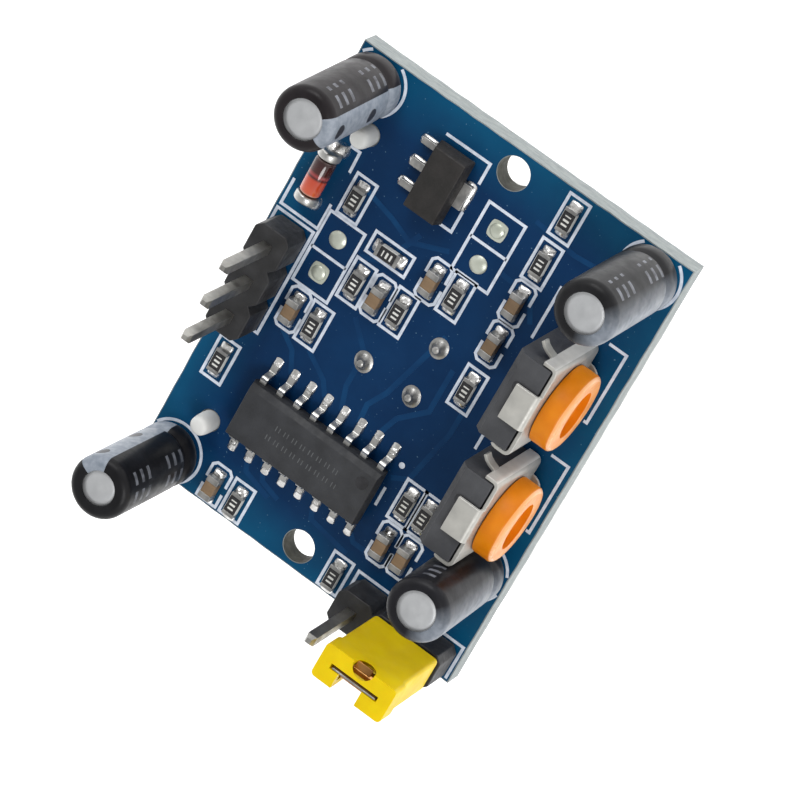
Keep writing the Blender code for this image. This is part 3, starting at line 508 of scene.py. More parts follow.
def add_mound(bm, low, high, base, height, steps=8, shape=None):
    """A low heap of solder on a rectangle: a height field closed by a flat underside."""
    (x0, y0), (x1, y1) = low, high
    grid = []
    for i in range(steps + 1):
        row = []
        for j in range(steps + 1):
            u, v = 2 * i / steps - 1, 2 * j / steps - 1
            rise = (1 - abs(u) ** 3) * (1 - abs(v) ** 3)
            if shape:
                rise = rise ** 0.6 * shape(u, v)
            squeeze = 1 - 0.16 * (u * v) ** 2
            x = (x0 + x1) / 2 + (x1 - x0) / 2 * u * squeeze
            y = (y0 + y1) / 2 + (y1 - y0) / 2 * v * squeeze
            row.append(bm.verts.new((x, y, base + 0.03 + height * rise)))
        grid.append(row)
    for i in range(steps):
        for j in range(steps):
            bm.faces.new((grid[i][j], grid[i + 1][j], grid[i + 1][j + 1], grid[i][j + 1]))
    rim = [grid[i][0] for i in range(steps)] + [grid[steps][j] for j in range(steps)]
    rim += [grid[i][steps] for i in range(steps, 0, -1)] + [grid[0][j] for j in range(steps, 0, -1)]
    foot = [bm.verts.new((vert.co.x, vert.co.y, base)) for vert in rim]
    add_walls(bm, foot, rim)
    bm.faces.new(foot[::-1])
    return [vert for row in grid for vert in row] + foot


def add_joint(bm, at, radius, height, up=1, stub=0.22, tip=0.57, wobble=0.0, steps=16):
    """Solder drawn up round the end of a wire."""
    profile = [(0.0, tip), (stub * 0.8, tip), (stub, tip - 0.06), (stub, height),
               (stub * 1.35, height * 0.8), (radius * 0.62, height * 0.36), (radius * 0.85, height * 0.14),
               (radius, 0.02), (radius, -0.01), (0.0, -0.01)]
    place = Matrix.Translation(at) @ Matrix.Diagonal((1, 1, up, 1))
    for vert in add_lathe(bm, profile, steps, matrix=place):
        turn = atan2(vert.co.y - at[1], vert.co.x - at[0])
        push = 1 + wobble * sin(2 * turn + at[0] * 5)
        vert.co.x = at[0] + (vert.co.x - at[0]) * push
        vert.co.y = at[1] + (vert.co.y - at[1]) * push


# ---- bare board

def add_plate(bm, outline, holes, low, high):
    """A plate with holes: both faces filled between the rings, and walls that take material 1 in holes."""
    levels = []
    for z in (low, high):
        rings = []
        edges = []
        for ring in (outline, *holes):
            verts = [bm.verts.new((x, y, z)) for x, y in ring]
            for a, b in zip(verts, verts[1:] + verts[:1]):
                edges.append(bm.edges.new((a, b)))
            rings.append(verts)
        bmesh.ops.triangle_fill(bm, edges=edges, use_beauty=True)
        levels.append(rings)
    for number, (lower, upper) in enumerate(zip(*levels)):
        add_walls(bm, lower, upper, 1 if number else 0)


SCREW_X, SCREW_Y, SCREW_RADIUS = 14.0, -0.2, 1.05
PEG_X, PEG_Y, PEG_MIDDLE, PEG_HOLE = 10.7, 8.85, -0.1, 0.70
SKIN = 0.035                # thickness of the mask on each face of the board, in mm
INK = 0.02                  # thickness of the printed legend, in mm

BOARD_LOW, BOARD_HIGH = box_mm("pcb")
PEG_PLACES = [(sx * PEG_X, PEG_MIDDLE + sy * PEG_Y) for sx in (-1, 1) for sy in (-1, 1)]
SCREW_PLACES = [(-SCREW_X, SCREW_Y), (SCREW_X, SCREW_Y)]


def board_outline(inset):
    """The board's outline, nibbled a little where it was snapped from its panel."""
    x0, y0 = BOARD_LOW.x + inset, BOARD_LOW.y + inset
    x1, y1 = BOARD_HIGH.x - inset, BOARD_HIGH.y - inset
    points = []
    sides = (((x0, y0), (x1, y0)), ((x1, y0), (x1, y1)), ((x1, y1), (x0, y1)), ((x0, y1), (x0, y0)))
    for number, (start, end) in enumerate(sides):
        start, end = Vector(start), Vector(end)
        inward = Vector((-(end - start).y, (end - start).x)).normalized()
        count = 24
        for i in range(count):
            t = i / count
            nick = 0.0 if i == 0 else 0.035 * (0.5 + 0.5 * sin(9.7 * i + 3.1 * number))
            point = start.lerp(end, t) + inward * nick
            points.append((point.x, point.y))
    return points


def make_board():
    low, high = BOARD_LOW.z, BOARD_HIGH.z
    screws = [circle(x, y, SCREW_RADIUS, 36) for x, y in SCREW_PLACES]
    pegs = [circle(x, y, PEG_HOLE, 20) for x, y in PEG_PLACES]
    bm = bmesh.new()
    add_plate(bm, board_outline(0.0), screws + pegs, low + SKIN, high - SKIN)
    # hole walls take the painted shade
    finish_piece("board_core", bm, FIBRE, replaces=("pcb",), materials=(HOLE_SHADE,))
    rims = [circle(x, y, SCREW_RADIUS + 0.04, 36) for x, y in SCREW_PLACES]
    rims += [circle(x, y, PEG_HOLE + 0.03, 20) for x, y in PEG_PLACES]
    for name, bottom in (("mask_component_side", high - SKIN), ("mask_lens_side", low)):
        bm = bmesh.new()
        add_plate(bm, board_outline(0.07), rims, bottom, bottom + SKIN)
        # the mask's hole rims take the painted shade too
        finish_piece(name, bm, MASK, materials=(HOLE_SHADE,))


make_board()


# ---- chips

RESISTORS = [f"resistor_{i:02d}" for i in range(1, 15)]
CERAMICS = [f"ceramic_{i}" for i in range(1, 9)]


def place_of(node):
    """Centre of a chip on the board and whether it lies along Y."""
    low, high = box_mm(node)
    centre = (low + high) / 2
    return centre.x, centre.y, (high - low).y > (high - low).x


def lay(bm, verts, x, y, along_y):
    turn = Matrix.Rotation(radians(90), 4, "Z") if along_y else Matrix.Identity(4)
    bmesh.ops.transform(bm, matrix=Matrix.Translation((x, y, 0)) @ turn, verts=verts)


def make_chips():
    joints = bmesh.new()
    marks = bmesh.new()
    for index, node in enumerate(RESISTORS + CERAMICS):
        x, y, along_y = place_of(node)
        resistor = node in RESISTORS
        height = 0.45 if resistor else 0.78
        skew = radians(1.6 * sin(7.3 * index + 1.0))
        turn = radians(90 if along_y else 0) + skew
        bm = bmesh.new()
        foot = 0.06
        if resistor:
            add_box(bm, (-0.58, -0.42, foot), (0.58, 0.42, foot + height - 0.05), material=1)
            add_box(bm, (-0.56, -0.385, foot + height - 0.05), (0.56, 0.385, foot + height))
        else:
            add_box(bm, (-0.40, -0.40, foot), (0.40, 0.40, foot + height))
        for side in (-1, 1):
            a, b = sorted((side * (0.58 if resistor else 0.40), side * 0.80))
            grow = 0.012 if resistor else 0.02
            low, high = (a, -0.40 - grow, foot - 0.01), (b, 0.40 + grow, foot + height + grow)
            add_box(bm, low, high, material=2)
        body = GLAZE if resistor else CERAMIC
        finish_piece(node + "_chip", bm, body, at=(x, y, 0), turn=(0, 0, turn),
                     replaces=(node,), bevel=0.035, segments=2, materials=(ALUMINA, CHIP_END))
        for side in (-1, 1):
            lean = 0.75 + 0.25 * sin(3.1 * index + side)
            a, b = sorted((side * (0.64 if resistor else 0.72), side * 1.2))

            def slope(u, v):
                ripple = 1 + 0.22 * sin(4.0 * v + 2.1 * index + side)
                return (0.35 + 0.65 * (0.5 - 0.5 * side * u)) * lean * ripple

            rise = (0.85 if resistor else 0.6) * height
            verts = add_mound(joints, (a, -0.44), (b, 0.44), 0.0, rise, shape=slope)
            lay(joints, verts, x, y, along_y)
        if resistor:
            top = foot + height
            for middle, wide in ((-0.29, 0.08), (0.0, 0.14), (0.29, 0.12)):
                low, high = (middle - wide / 2, -0.20, top), (middle + wide / 2, 0.20, top + 0.008)
                lay(marks, add_box(marks, low, high), x, y, along_y)
    finish_piece("chip_solder", joints, SOLDER, smooth=60)
    finish_piece("chip_marks", marks, ALUMINA, smooth=0)


make_chips()


# ---- integrated circuit

def add_strip(bm, path, width, thickness, material=0):
    """A flat strip bent along a path in XZ, as wide as width along Y."""
    rings = []
    for a, b in mitred(path, thickness, least=0.4):
        corners = ((a, -width / 2), (a, width / 2), (b, width / 2), (b, -width / 2))
        rings.append([bm.verts.new((p.x, y, p.y)) for p, y in corners])
    add_band(bm, rings, material=material)
    return [vert for ring in rings for vert in ring]


def add_stack(bm, levels):
    """A solid through rectangles at rising heights: (z, (x0, x1), (y0, y1))."""
    rings = []
    for z, (x0, x1), (y0, y1) in levels:
        rings.append([bm.verts.new((x, y, z)) for x, y in ((x0, y0), (x1, y0), (x1, y1), (x0, y1))])
    bm.faces.new(rings[0][::-1])
    bm.faces.new(rings[-1])
    for below, above in zip(rings, rings[1:]):
        add_walls(bm, below, above)


LEAD_PITCH = 1.27
LASER_ROW, LASER_BAR = 0.62, 0.34     # spacing of the rows of bars, and a bar's length


def make_integrated_circuit():
    low, high = box_mm("integrated_circuit")
    centre = (low + high) / 2 + Vector((0.12, 0.0, 0.0))
    half_x, half_y = 1.95, (high.y - low.y) / 2
    top, foot = high.z, 0.25
    bm = bmesh.new()
    add_stack(bm, [
        (foot, (-half_x + 0.13, half_x - 0.13), (-half_y + 0.13, half_y - 0.13)),
        (0.95, (-half_x, half_x), (-half_y, half_y)),
        (top - 0.32, (-half_x + 0.07, half_x - 0.07), (-half_y + 0.07, half_y - 0.07)),
        (top, (-half_x + 0.42, half_x - 0.12), (-half_y + 0.12, half_y - 0.12)),
    ])
    finish_piece("chip_package", bm, EPOXY, at=(centre.x + 0.06, centre.y, 0),
                 replaces=("integrated_circuit",), bevel=0.06, segments=2)
    bm = bmesh.new()
    solder_heaps = bmesh.new()
    path = [(1.80, 0.93), (2.10, 0.93)]
    path += arc((2.10, 0.73), 0.20, 90, 20, 3)
    path += arc((2.58, 0.36), 0.20, 200, 270, 3)
    path.append((3.02, 0.16))
    for side in (-1, 1):
        for i in range(8):
            y = (i - 3.5) * LEAD_PITCH
            verts = add_strip(bm, path, 0.44, 0.2)
            if side < 0:
                bmesh.ops.transform(bm, matrix=Matrix.Rotation(pi, 4, "Z"), verts=verts)
            bmesh.ops.translate(bm, vec=(0, y, 0), verts=verts)
            a, b = sorted((side * 2.45, side * 3.5))

            def heap(u, v):
                return 0.55 + 0.35 * cos(2.6 * (u * side + 0.35)) + 0.08 * sin(5 * i + side)

            add_mound(solder_heaps, (centre.x + a, centre.y + y - 0.30), (centre.x + b, centre.y + y + 0.30),
                      0.0, 0.27, shape=heap)
    finish_piece("chip_leads", bm, TIN, at=(centre.x, centre.y, 0),
                 bevel=0.03, segments=1)
    finish_piece("chip_lead_solder", solder_heaps, SOLDER, smooth=60)
    bm = bmesh.new()
    add_lathe(bm, [(0.0, 0.0), (0.42, 0.0), (0.42, 0.012), (0.36, 0.014), (0.0, 0.006)], 24)
    finish_piece("chip_pin_mark", bm, GLAZE,
                 at=(centre.x - 0.75, centre.y + half_y - 0.85, top - 0.003))
    bm = bmesh.new()
    for x, places in ((-0.42, 8), (0.42, 9)):
        for k in range(places):
            y = (k - (places - 1) / 2) * LASER_ROW
            for low, high in ((-0.19, -0.13), (0.05, 0.11)):
                add_box(bm, (x - LASER_BAR / 2, y + low, 0.0), (x + LASER_BAR / 2, y + high, 0.006))
    finish_piece("chip_laser_marks", bm, LASER,
                 at=(centre.x + 0.1, centre.y + 0.2, top - 0.001), smooth=0)


make_integrated_circuit()


# ---- regulator and diode

def make_regulator():
    low, high = box_mm("regulator")
    x = (low.x + high.x) / 2
    y = high.y - 0.7 - 1.25
    top = high.z
    bm = bmesh.new()
    add_stack(bm, [
        (0.06, (-2.12, 2.12), (-1.14, 1.14)),
        (0.45, (-2.25, 2.25), (-1.25, 1.25)),
        (top - 0.02, (-2.10, 2.10), (-1.08, 1.10)),
    ])
    finish_piece("regulator_package", bm, DARK_EPOXY, at=(x, y, 0),
                 replaces=("regulator",), bevel=0.08, segments=3)
    bm = bmesh.new()
    heaps = bmesh.new()
    for i, half in ((-1, 0.22), (0, 0.27), (1, 0.22)):
        px = i * 1.5
        add_box(bm, (px - half, -2.3, 0.08), (px + half, -1.1, 0.34))
        add_mound(heaps, (x + px - half - 0.13, y - 2.5), (x + px + half + 0.13, y - 1.3), 0.0, 0.16,
                  shape=lambda u, v: 0.85 + 0.15 * v)
    add_box(bm, (-0.85, 1.0, 0.08), (0.85, 1.8, 0.42))
    add_mound(heaps, (x - 1.0, y + 1.1), (x + 1.0, y + 2.05), 0.0, 0.22,
              shape=lambda u, v: 0.9 - 0.1 * v)
    finish_piece("regulator_leads", bm, CHIP_END, at=(x, y, 0), bevel=0.04)
    finish_piece("regulator_solder", heaps, SOLDER, smooth=60)


def make_diode():
    low, high = box_mm("diode_glass")
    centre = (low + high) / 2
    radius = (high.z - low.z) / 2
    half = (high.x - low.x) / 2
    sideways = Matrix.Rotation(radians(90), 4, "Y")
    bm = bmesh.new()
    profile = [(0.0, -half), (radius * 0.9, -half)] + [(radius, -half + 0.12), (radius, half - 0.12)]
    profile += [(radius * 0.9, half), (0.0, half)]
    add_lathe(bm, profile, 32, matrix=sideways)
    finish_piece("diode_tube", bm, GLASS, at=centre, replaces=("diode_glass",))
    heaps = bmesh.new()
    for node in ("diode_end_1", "diode_end_2"):
        a, b = box_mm(node)
        side = -1 if a.x < centre.x else 1
        r = (b.z - a.z) / 2
        w = (b.x - a.x) / 2
        bm = bmesh.new()
        cap = [(0.0, -w)] + arc((r - 0.14, -w + 0.14), 0.14, -90, 0, 3)
        cap += arc((r - 0.14, w - 0.14), 0.14, 0, 90, 3)
        cap.append((0.0, w))
        add_lathe(bm, cap, 28, matrix=sideways)
        finish_piece(node + "_cap", bm, TIN, at=(a + b) / 2, replaces=(node,))
        near, far = sorted((a.x + (0.1 if side > 0 else -0.55), b.x + (0.55 if side > 0 else -0.1)))
        add_mound(heaps, (near, centre.y - 0.8), (far, centre.y + 0.8), 0.0, 0.95, steps=10,
                  shape=lambda u, v: (0.75 - 0.25 * side * u) * (1.0 - 0.25 * abs(v)))
    finish_piece("diode_solder", heaps, SOLDER, smooth=60)


make_regulator()
make_diode()


# ---- shapes cut out of one another

def carve(bm, *cutters):
    """Cuts closed shapes out of a closed shape, all of them bmeshes in millimetres."""
    made = []
    for shape in (bm, *cutters):
        bmesh.ops.recalc_face_normals(shape, faces=shape.faces)
        mesh = bpy.data.meshes.new("carving")
        shape.to_mesh(mesh)
        shape.free()
        made.append(bpy.data.objects.new("carving", mesh))
        bpy.context.scene.collection.objects.link(made[-1])
    for tool in made[1:]:
        cut = made[0].modifiers.new("Cut", "BOOLEAN")
        cut.operation = "DIFFERENCE"
        cut.solver = "EXACT"
        cut.object = tool
    result = bmesh.new()
    result.from_object(made[0], bpy.context.evaluated_depsgraph_get())
    for item in made:
        mesh = item.data
        bpy.data.objects.remove(item)
        bpy.data.meshes.remove(mesh)
    return result


def box_shape(low, high):
    bm = bmesh.new()
    add_box(bm, low, high)
    return bm


def prism_shape(outline, low, high, matrix=None):
    bm = bmesh.new()
    add_prism(bm, outline, low, high, matrix=matrix)
    return bm


# ---- pin headers

HEADER_NOTCH = 0.42


def header_outline(length, width, cells=3):
    """A row of cells with their corners cut off, as break-off headers have."""
    cell = length / cells
    side = []
    for i in range(cells):
        start = i * cell - length / 2
        side += [(start, HEADER_NOTCH - width / 2), (start + HEADER_NOTCH, -width / 2),
                 (start + cell - HEADER_NOTCH, -width / 2), (start + cell, HEADER_NOTCH - width / 2)]
    outline = side + [(-x, -y) for x, y in side]
    return list(dict.fromkeys((round(x, 4), round(y, 4)) for x, y in outline))


def paint(node, material):
    """Gives a CAD node that keeps its shape its finished material."""
    for material_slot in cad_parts[node].material_slots:
        material_slot.material = material


def make_headers():
    joints = bmesh.new()
    for header in ("output", "jumper"):
        low, high = box_mm(f"{header}_housing")
        size = high - low
        along_y = size.y > size.x
        outline = header_outline(max(size.x, size.y), min(size.x, size.y))
        bm = bmesh.new()
        add_prism(bm, outline, low.z, high.z)
        finish_piece(f"{header}_block", bm, HEADER,
                     at=((low.x + high.x) / 2, (low.y + high.y) / 2, 0),
                     turn=(0, 0, radians(90 if along_y else 0)),
                     replaces=(f"{header}_housing",), bevel=0.07, smooth=30)
        for i in range(3):
            pin = f"{header}_pin_{i + 1}"
            paint(pin, PIN)
            middle = centre_mm(pin)
            add_joint(joints, (middle.x, middle.y, BOARD_LOW.z), 0.85, 0.55, up=-1, stub=0.45,
                      tip=0.75, wobble=0.04)
    finish_piece("header_solder", joints, SOLDER, smooth=60)


make_headers()


# ---- electrolytic capacitors

def can_axis(node):
    """Foot of a capacitor's axis at board level, and its direction, from the CAD can."""
    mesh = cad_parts[node].data
    points = [vert.co / MM for vert in mesh.vertices]
    levels = sorted(point.z for point in points)
    middle_z = (levels[0] + levels[-1]) / 2
    ends = []
    for part in ([p for p in points if p.z < middle_z], [p for p in points if p.z >= middle_z]):
        lows = Vector([min(p[i] for p in part) for i in range(3)])
        highs = Vector([max(p[i] for p in part) for i in range(3)])
        ends.append((lows + highs) / 2)
    way = (ends[1] - ends[0]).normalized()
    return ends[0] - way * (ends[0].z / way.z), way


CAN_TOP, CAN_FOOT = 9.65, 0.35
SLEEVE_R, FILM = 2.0, 0.11
SLEEVES = {
    # capacitor: (middle of the pale band and half its width in degrees, radius of the end, film colour,
    #             whether the band is a crisp printed stripe with marks rather than a soft painted highlight,
    #             middle of the printed bars in degrees)
    1: (94, 32, 1.24, (0.010, 0.008, 0.009), True, 165),
    2: (72, 68, 1.24, (0.008, 0.008, 0.009), False, 168),
    3: (70, 66, 1.24, (0.007, 0.007, 0.009), False, -178),
    4: (218, 29, 1.08, (0.005, 0.005, 0.006), True, 118),
}


def sleeve_profile(radius, inset, end):
    """The film's surface from its curled lip over the can's shoulder down to the foot."""
    top = CAN_TOP - inset
    lip = [(end + 0.02, top)] if inset else [(end, top - 0.10), (end + 0.05, top)]
    shoulder = arc((radius - 0.55, top - 0.55), 0.55, 82, 0, 7)
    groove = [(radius - 0.005, 2.35), (radius - 0.06, 2.15), (radius - 0.17, 1.98), (radius - 0.22, 1.85),
              (radius - 0.17, 1.72), (radius - 0.06, 1.55), (radius - 0.005, 1.35)]
    return lip + shoulder + [(radius, 6.6), (radius, 4.2)] + groove + [(radius, 0.62), (radius - 0.05, 0.5)]


def make_capacitor(number):
    foot, way = can_axis(f"capacitor_{number}_can")
    lean = Vector((0, 0, 1)).rotation_difference(way).to_matrix().to_4x4()
    name = f"capacitor_{number}"
    angle, half, end, colour, marked, bars = SLEEVES[number]

    bm = bmesh.new()
    disc = CAN_TOP - 0.17
    profile = [(0.0, disc), (end - 0.28, disc), (end - 0.13, disc - 0.015), (end - 0.06, disc - 0.05),
               (1.28, disc - 0.04), (1.36, disc - 0.05)]
    profile += arc((1.30, disc - 0.56), 0.5, 75, 0, 5)
    profile += [(1.80, 2.4), (1.62, 1.85), (1.80, 1.3), (1.80, 0.5), (1.70, CAN_FOOT), (1.45, CAN_FOOT + 0.02),
                (1.40, 0.62), (0.0, 0.62)]
    add_lathe(bm, profile, 44, matrix=lean)
    finish_piece(name + "_aluminium", bm, ALUMINIUM, at=foot,
                 replaces=(name + "_can",), smooth=40)

    bm = bmesh.new()
    film = sleeve_profile(SLEEVE_R, 0.0, end) + sleeve_profile(SLEEVE_R - FILM, FILM, end)[::-1]
    add_lathe(bm, film, 56, closed=True, matrix=lean)
    skin = sleeve(f"{name}_film", angle, half, colour, way, marked, bars)
    finish_piece(name + "_film", bm, skin,
                 at=foot, replaces=(name + "_sleeve",), smooth=50)

    bm = bmesh.new()
    add_lathe(bm, [(0.0, 0.66), (1.36, 0.66), (1.36, 0.34), (1.2, 0.22), (0.5, 0.2), (0.0, 0.22)], 32)
    for side in (-1, 1):
        add_lathe(bm, [(0.0, 0.4), (0.22, 0.4), (0.22, -2.3), (0.0, -2.35)], 12,
                  matrix=Matrix.Translation((0.75 * side, 0, 0)), material=1)
    bmesh.ops.transform(bm, matrix=lean, verts=bm.verts)
    finish_piece(name + "_bung", bm, RUBBER, at=foot, smooth=40, materials=(TIN,))
    joints = bmesh.new()
    for side in (-1, 1):
        add_joint(joints, (foot.x + 0.75 * side, foot.y, BOARD_LOW.z), 0.68, 0.5, up=-1, stub=0.26,
                  tip=0.62, wobble=0.05)
    finish_piece(name + "_solder", joints, SOLDER, smooth=60)


for number in sorted(SLEEVES):
    make_capacitor(number)


# ---- shunt on the jumper pins

def make_shunt():
    low, high = box_mm("shunt_housing")
    x, y = (low.x + high.x) / 2, (low.y + high.y) / 2
    half_x, half_y = (high.x - low.x) / 2, (high.y - low.y) / 2
    head, flare, wall, roof = 1.45, 0.17, 0.4, 0.45
    bm = bmesh.new()
    waist = [rounded((-half_x + 0.03, -half_y + flare), (half_x - 0.03, half_y - flare), 0.28),
             rounded((-half_x, -half_y), (half_x, half_y), 0.30)]
    rings = []
    for outline, z in ((waist[0], low.z), (waist[0], high.z - head - 0.10), (waist[1], high.z - head + 0.05),
                       (waist[1], high.z)):
        rings.append([bm.verts.new((px, py, z)) for px, py in outline])
    bm.faces.new(rings[0][::-1])
    bm.faces.new(rings[-1])
    for below, above in zip(rings, rings[1:]):
        for i in range(len(below)):
            j = (i + 1) % len(below)
            bm.faces.new((below[i], below[j], above[j], above[i]))

    inner_x, inner_y = half_x - 0.03 - wall, half_y - flare - wall
    room = prism_shape(rounded((-inner_x, -inner_y), (inner_x, inner_y), 0.12), low.z - 1, high.z - roof)
    slit_x = 0.03
    slit = box_shape((slit_x - 0.21, -1.72, high.z - 2), (slit_x + 0.16, 1.72, high.z + 1))
    notch = prism_shape(rounded((-1.06, -2.2), (0.68, 2.2), 0.3), slit_x + 0.09 - half_x, 1.0,
                        matrix=Matrix.Translation((half_x, 0, high.z)) @ Matrix((
                            (0, 0, 1, 0), (1, 0, 0, 0), (0, 1, 0, 0), (0, 0, 0, 1))))
    probe_outline = [(0.57 * px, 0.76 * py) for px, py in circle(0, 0, 1, 32)]
    probe = prism_shape(probe_outline, -1.2, 0.95, matrix=Matrix.Translation((-half_x, 0.12, high.z))
                        @ Matrix.Rotation(radians(135), 4, "Y"))
    body = carve(bm, room, slit, notch, probe)
    finish_piece("shunt_body", body, YELLOW, "shunt", at=(x, y, 0),
                 replaces=("shunt_housing",), bevel=0.09, segments=3, bevel_angle=40, smooth=40)

    low, high = box_mm("shunt_contact")
    bm = bmesh.new()
    thick = 0.15
    leaf = (high.x - low.x) / 2 - thick / 2
    top = high.z + 0.25
    bridge = top - roof - 0.1
    path = [(-leaf + 0.02, low.z + 0.02), (-leaf + 0.05, low.z + 1.2), (-leaf, low.z + 2.4),
            (-leaf, bridge - 0.8), (-0.68, bridge - 0.35), (-0.66, bridge - 0.08), (-0.55, bridge),
            (leaf - 0.1, bridge), (leaf, bridge - 0.12), (leaf, low.z + 2.4), (leaf - 0.05, low.z + 1.2), (leaf - 0.02, low.z + 0.02)]
    length = 3.35
    add_strip(bm, path, length, thick)
    add_strip(bm, [(slit_x + 0.07, bridge - 0.02), (slit_x + 0.07, top - 0.06)], 3.15, 0.12, material=1)
    add_strip(bm, [(-0.62, bridge), (-1.10, bridge - 0.06)], 1.1, thick)
    finish_piece("shunt_leaf", bm, BRASS, "shunt", at=(x, y, 0),
                 replaces=("shunt_contact",), bevel=0.03, segments=2, materials=(CHIP_END,))


make_shunt()


# ---- trimmers

AXIS_Z, BASE_TOP, BASE_FOOT = 3.4, 6.85, 0.1
BASE_HALF, BASE_DEPTH = 2.85, 2.3
SHEET = 0.25
FLANGE_X = 3.03
ROTOR_R, ROTOR_DEPTH, HUB_R = 2.65, 1.4, 1.3
TO_Y = Matrix(((1, 0, 0, 0), (0, 0, 1, 0), (0, -1, 0, 0), (0, 0, 0, 1)))    # local +Z looks along +Y


def make_trimmer_base(name, at):
    """The moulded block: its rear top edge sloped, its corners eased, a shallow dimple on top."""
    front = -SHEET - 0.1
    rear = front - BASE_DEPTH
    side_outline = [(rear, BASE_FOOT + 0.1), (rear + 0.1, BASE_FOOT), (front, BASE_FOOT), (front, BASE_TOP),
                    (rear + 0.42, BASE_TOP), (rear, BASE_TOP - 0.5)]
    lying = Matrix(((0, 0, 1, 0), (1, 0, 0, 0), (0, 1, 0, 0), (0, 0, 0, 1)))
    block = prism_shape(side_outline, -BASE_HALF, BASE_HALF, matrix=lying)
    recess = bmesh.new()
    add_lathe(recess, [(0, -1.4), (1.6, -1.4), (1.6, 1), (0, 1)], 28,
              matrix=Matrix.Translation((0, front, AXIS_Z)) @ TO_Y)
    dimple = bmesh.new()
    add_lathe(dimple, [(0, -0.06), (0.28, -0.05), (0.42, 0.3), (0, 0.3)], 24,
              matrix=Matrix.Translation((-0.9, rear + 1.0, BASE_TOP)))
    finish_piece(name + "_block", carve(block, recess, dimple), TRIMMER_BLACK,
                 at=at, replaces=(name + "_base",), bevel=0.12, segments=3, smooth=35)


def make_trimmer_frame(name, at):
    """Sheet metal: a plate with hooked flanges, a tab over the base, a lug and a rounded foot."""
    middle = -SHEET / 2
    radius = 0.32
    edge = FLANGE_X
    path = [(-edge, -1.02)] + arc((-edge + radius, middle - radius), radius, 180, 90, 5)
    path += arc((edge - radius, middle - radius), radius, 90, 0, 5)
    path += [(edge, -0.95), (edge - 0.05, -1.15), (edge - 0.14, -1.28)]
    sheet = bmesh.new()
    add_ribbon(sheet, path, SHEET, 0.3, BASE_TOP - 0.1)
    hub_hole = bmesh.new()
    add_lathe(hub_hole, [(0, -1), (1.5, -1), (1.5, 1), (0, 1)], 28,
              matrix=Matrix.Translation((0, 0, AXIS_Z)) @ TO_Y)
    bm = carve(sheet, hub_hole)
    bm.normal_update()
    lug = [(-edge + 0.02, -0.9), (-edge - 0.10, -1.1), (-edge - 0.2, -1.4), (-edge - 0.38, -1.72),
           (-edge - 0.62, -1.95)]
    add_ribbon(bm, lug, 0.2, BASE_TOP - 1.9, BASE_TOP - 1.15)
    over = BASE_TOP + 0.1 + SHEET / 2
    fold = [(middle, BASE_TOP - 0.2)] + arc((middle - 0.22, over - 0.22), 0.22, 0, 90, 4) + [(-1.68, over)]
    verts = add_strip(bm, fold, 2.4, SHEET)
    bmesh.ops.transform(bm, matrix=Matrix.Rotation(radians(90), 4, "Z"), verts=verts)
    foot = [(-1.9 * cos(pi * i / 16), 1.25 * sin(pi * i / 16) - 0.05) for i in range(17)]
    add_prism(bm, foot[::-1], 0.22, 0.40)
    bm.normal_update()
    # faces turned to -X take the paler copy of the frame metal, painted light on that side
    for face in bm.faces:
        face.material_index = 1 if face.normal.x < -0.75 else 0
    finish_piece(name + "_sheet", bm, TRIMMER_METAL, at=at,
                 replaces=(name + "_frame",), bevel=0.05, segments=2, smooth=35, materials=(FLANGE_LIGHTING,))


def make_trimmer_rotor(name, at):
    """The thumb disc with its screwdriver slot, on a hub that runs back into the base."""
    back, front = 0.05, 0.05 + ROTOR_DEPTH
    r = ROTOR_R
    profile = [(0, front - 0.03), (r - 0.50, front), (r - 0.26, front - 0.02), (r - 0.12, front - 0.08),
               (r - 0.03, front - 0.18), (r, front - 0.28), (r, back + 0.06), (r - 0.06, back), (HUB_R, back),
               (HUB_R, -1.05), (0, -1.05)]
    disc = bmesh.new()
    add_lathe(disc, profile, 64)
    oval = [(1.62 * px, 1.3 * py) for px, py in circle(0, 0, 1, 40)]
    half = (arc((1.25, 0.11), 0.25, 0, 90, 4) + [(0.4, 0.36)] + arc((0.15, 0.70), 0.25, 0, 90, 4)
            + arc((-0.15, 0.70), 0.25, 90, 180, 4) + [(-0.4, 0.36)] + arc((-1.25, 0.11), 0.25, 90, 180, 4))
    cross = half + [(-px, -py) for px, py in half]
    bm = carve(disc, prism_shape(oval, front - 0.45, front + 1), prism_shape(cross, front - 1.0, front + 1))
    # front faces: the outer chamfer gets the painted highlight and the flat face the painted light; the slot
    # and sides keep the plain orange
    for face in bm.faces:
        middle = face.calc_center_median()
        if middle.z > front - 0.37 and face.normal.z > 0.55:
            face.material_index = 1 if hypot(middle.x, middle.y) > r - 0.38 else 2
        else:
            face.material_index = 0
    bmesh.ops.transform(bm, matrix=TO_Y, verts=bm.verts)
    finish_piece(name + "_disc", bm, ORANGE, name + "_knob", at=(at[0], at[1], AXIS_Z),
                 replaces=(name + "_rotor",), bevel=0.04, segments=2, bevel_angle=50, smooth=32,
                 materials=(RIM_HIGHLIGHT, LIT_ROTOR_FACE))


def make_trimmer(name):
    low, high = box_mm(name + "_frame")
    at = ((low.x + high.x) / 2, high.y, 0)
    make_trimmer_base(name, at)
    make_trimmer_frame(name, at)
    make_trimmer_rotor(name, at)
    joints = bmesh.new()
    for side, back in ((-1, -1.0), (0, -2.2), (1, -1.0)):
        add_joint(joints, (at[0] + 2.5 * side, at[1] + back, BOARD_LOW.z), 0.7, 0.45, up=-1, stub=0.28,
                  tip=0.6, wobble=0.05)
    finish_piece(name + "_solder", joints, SOLDER, smooth=60)


make_trimmer("trimmer_1")
make_trimmer("trimmer_2")


# ---- infrared sensor

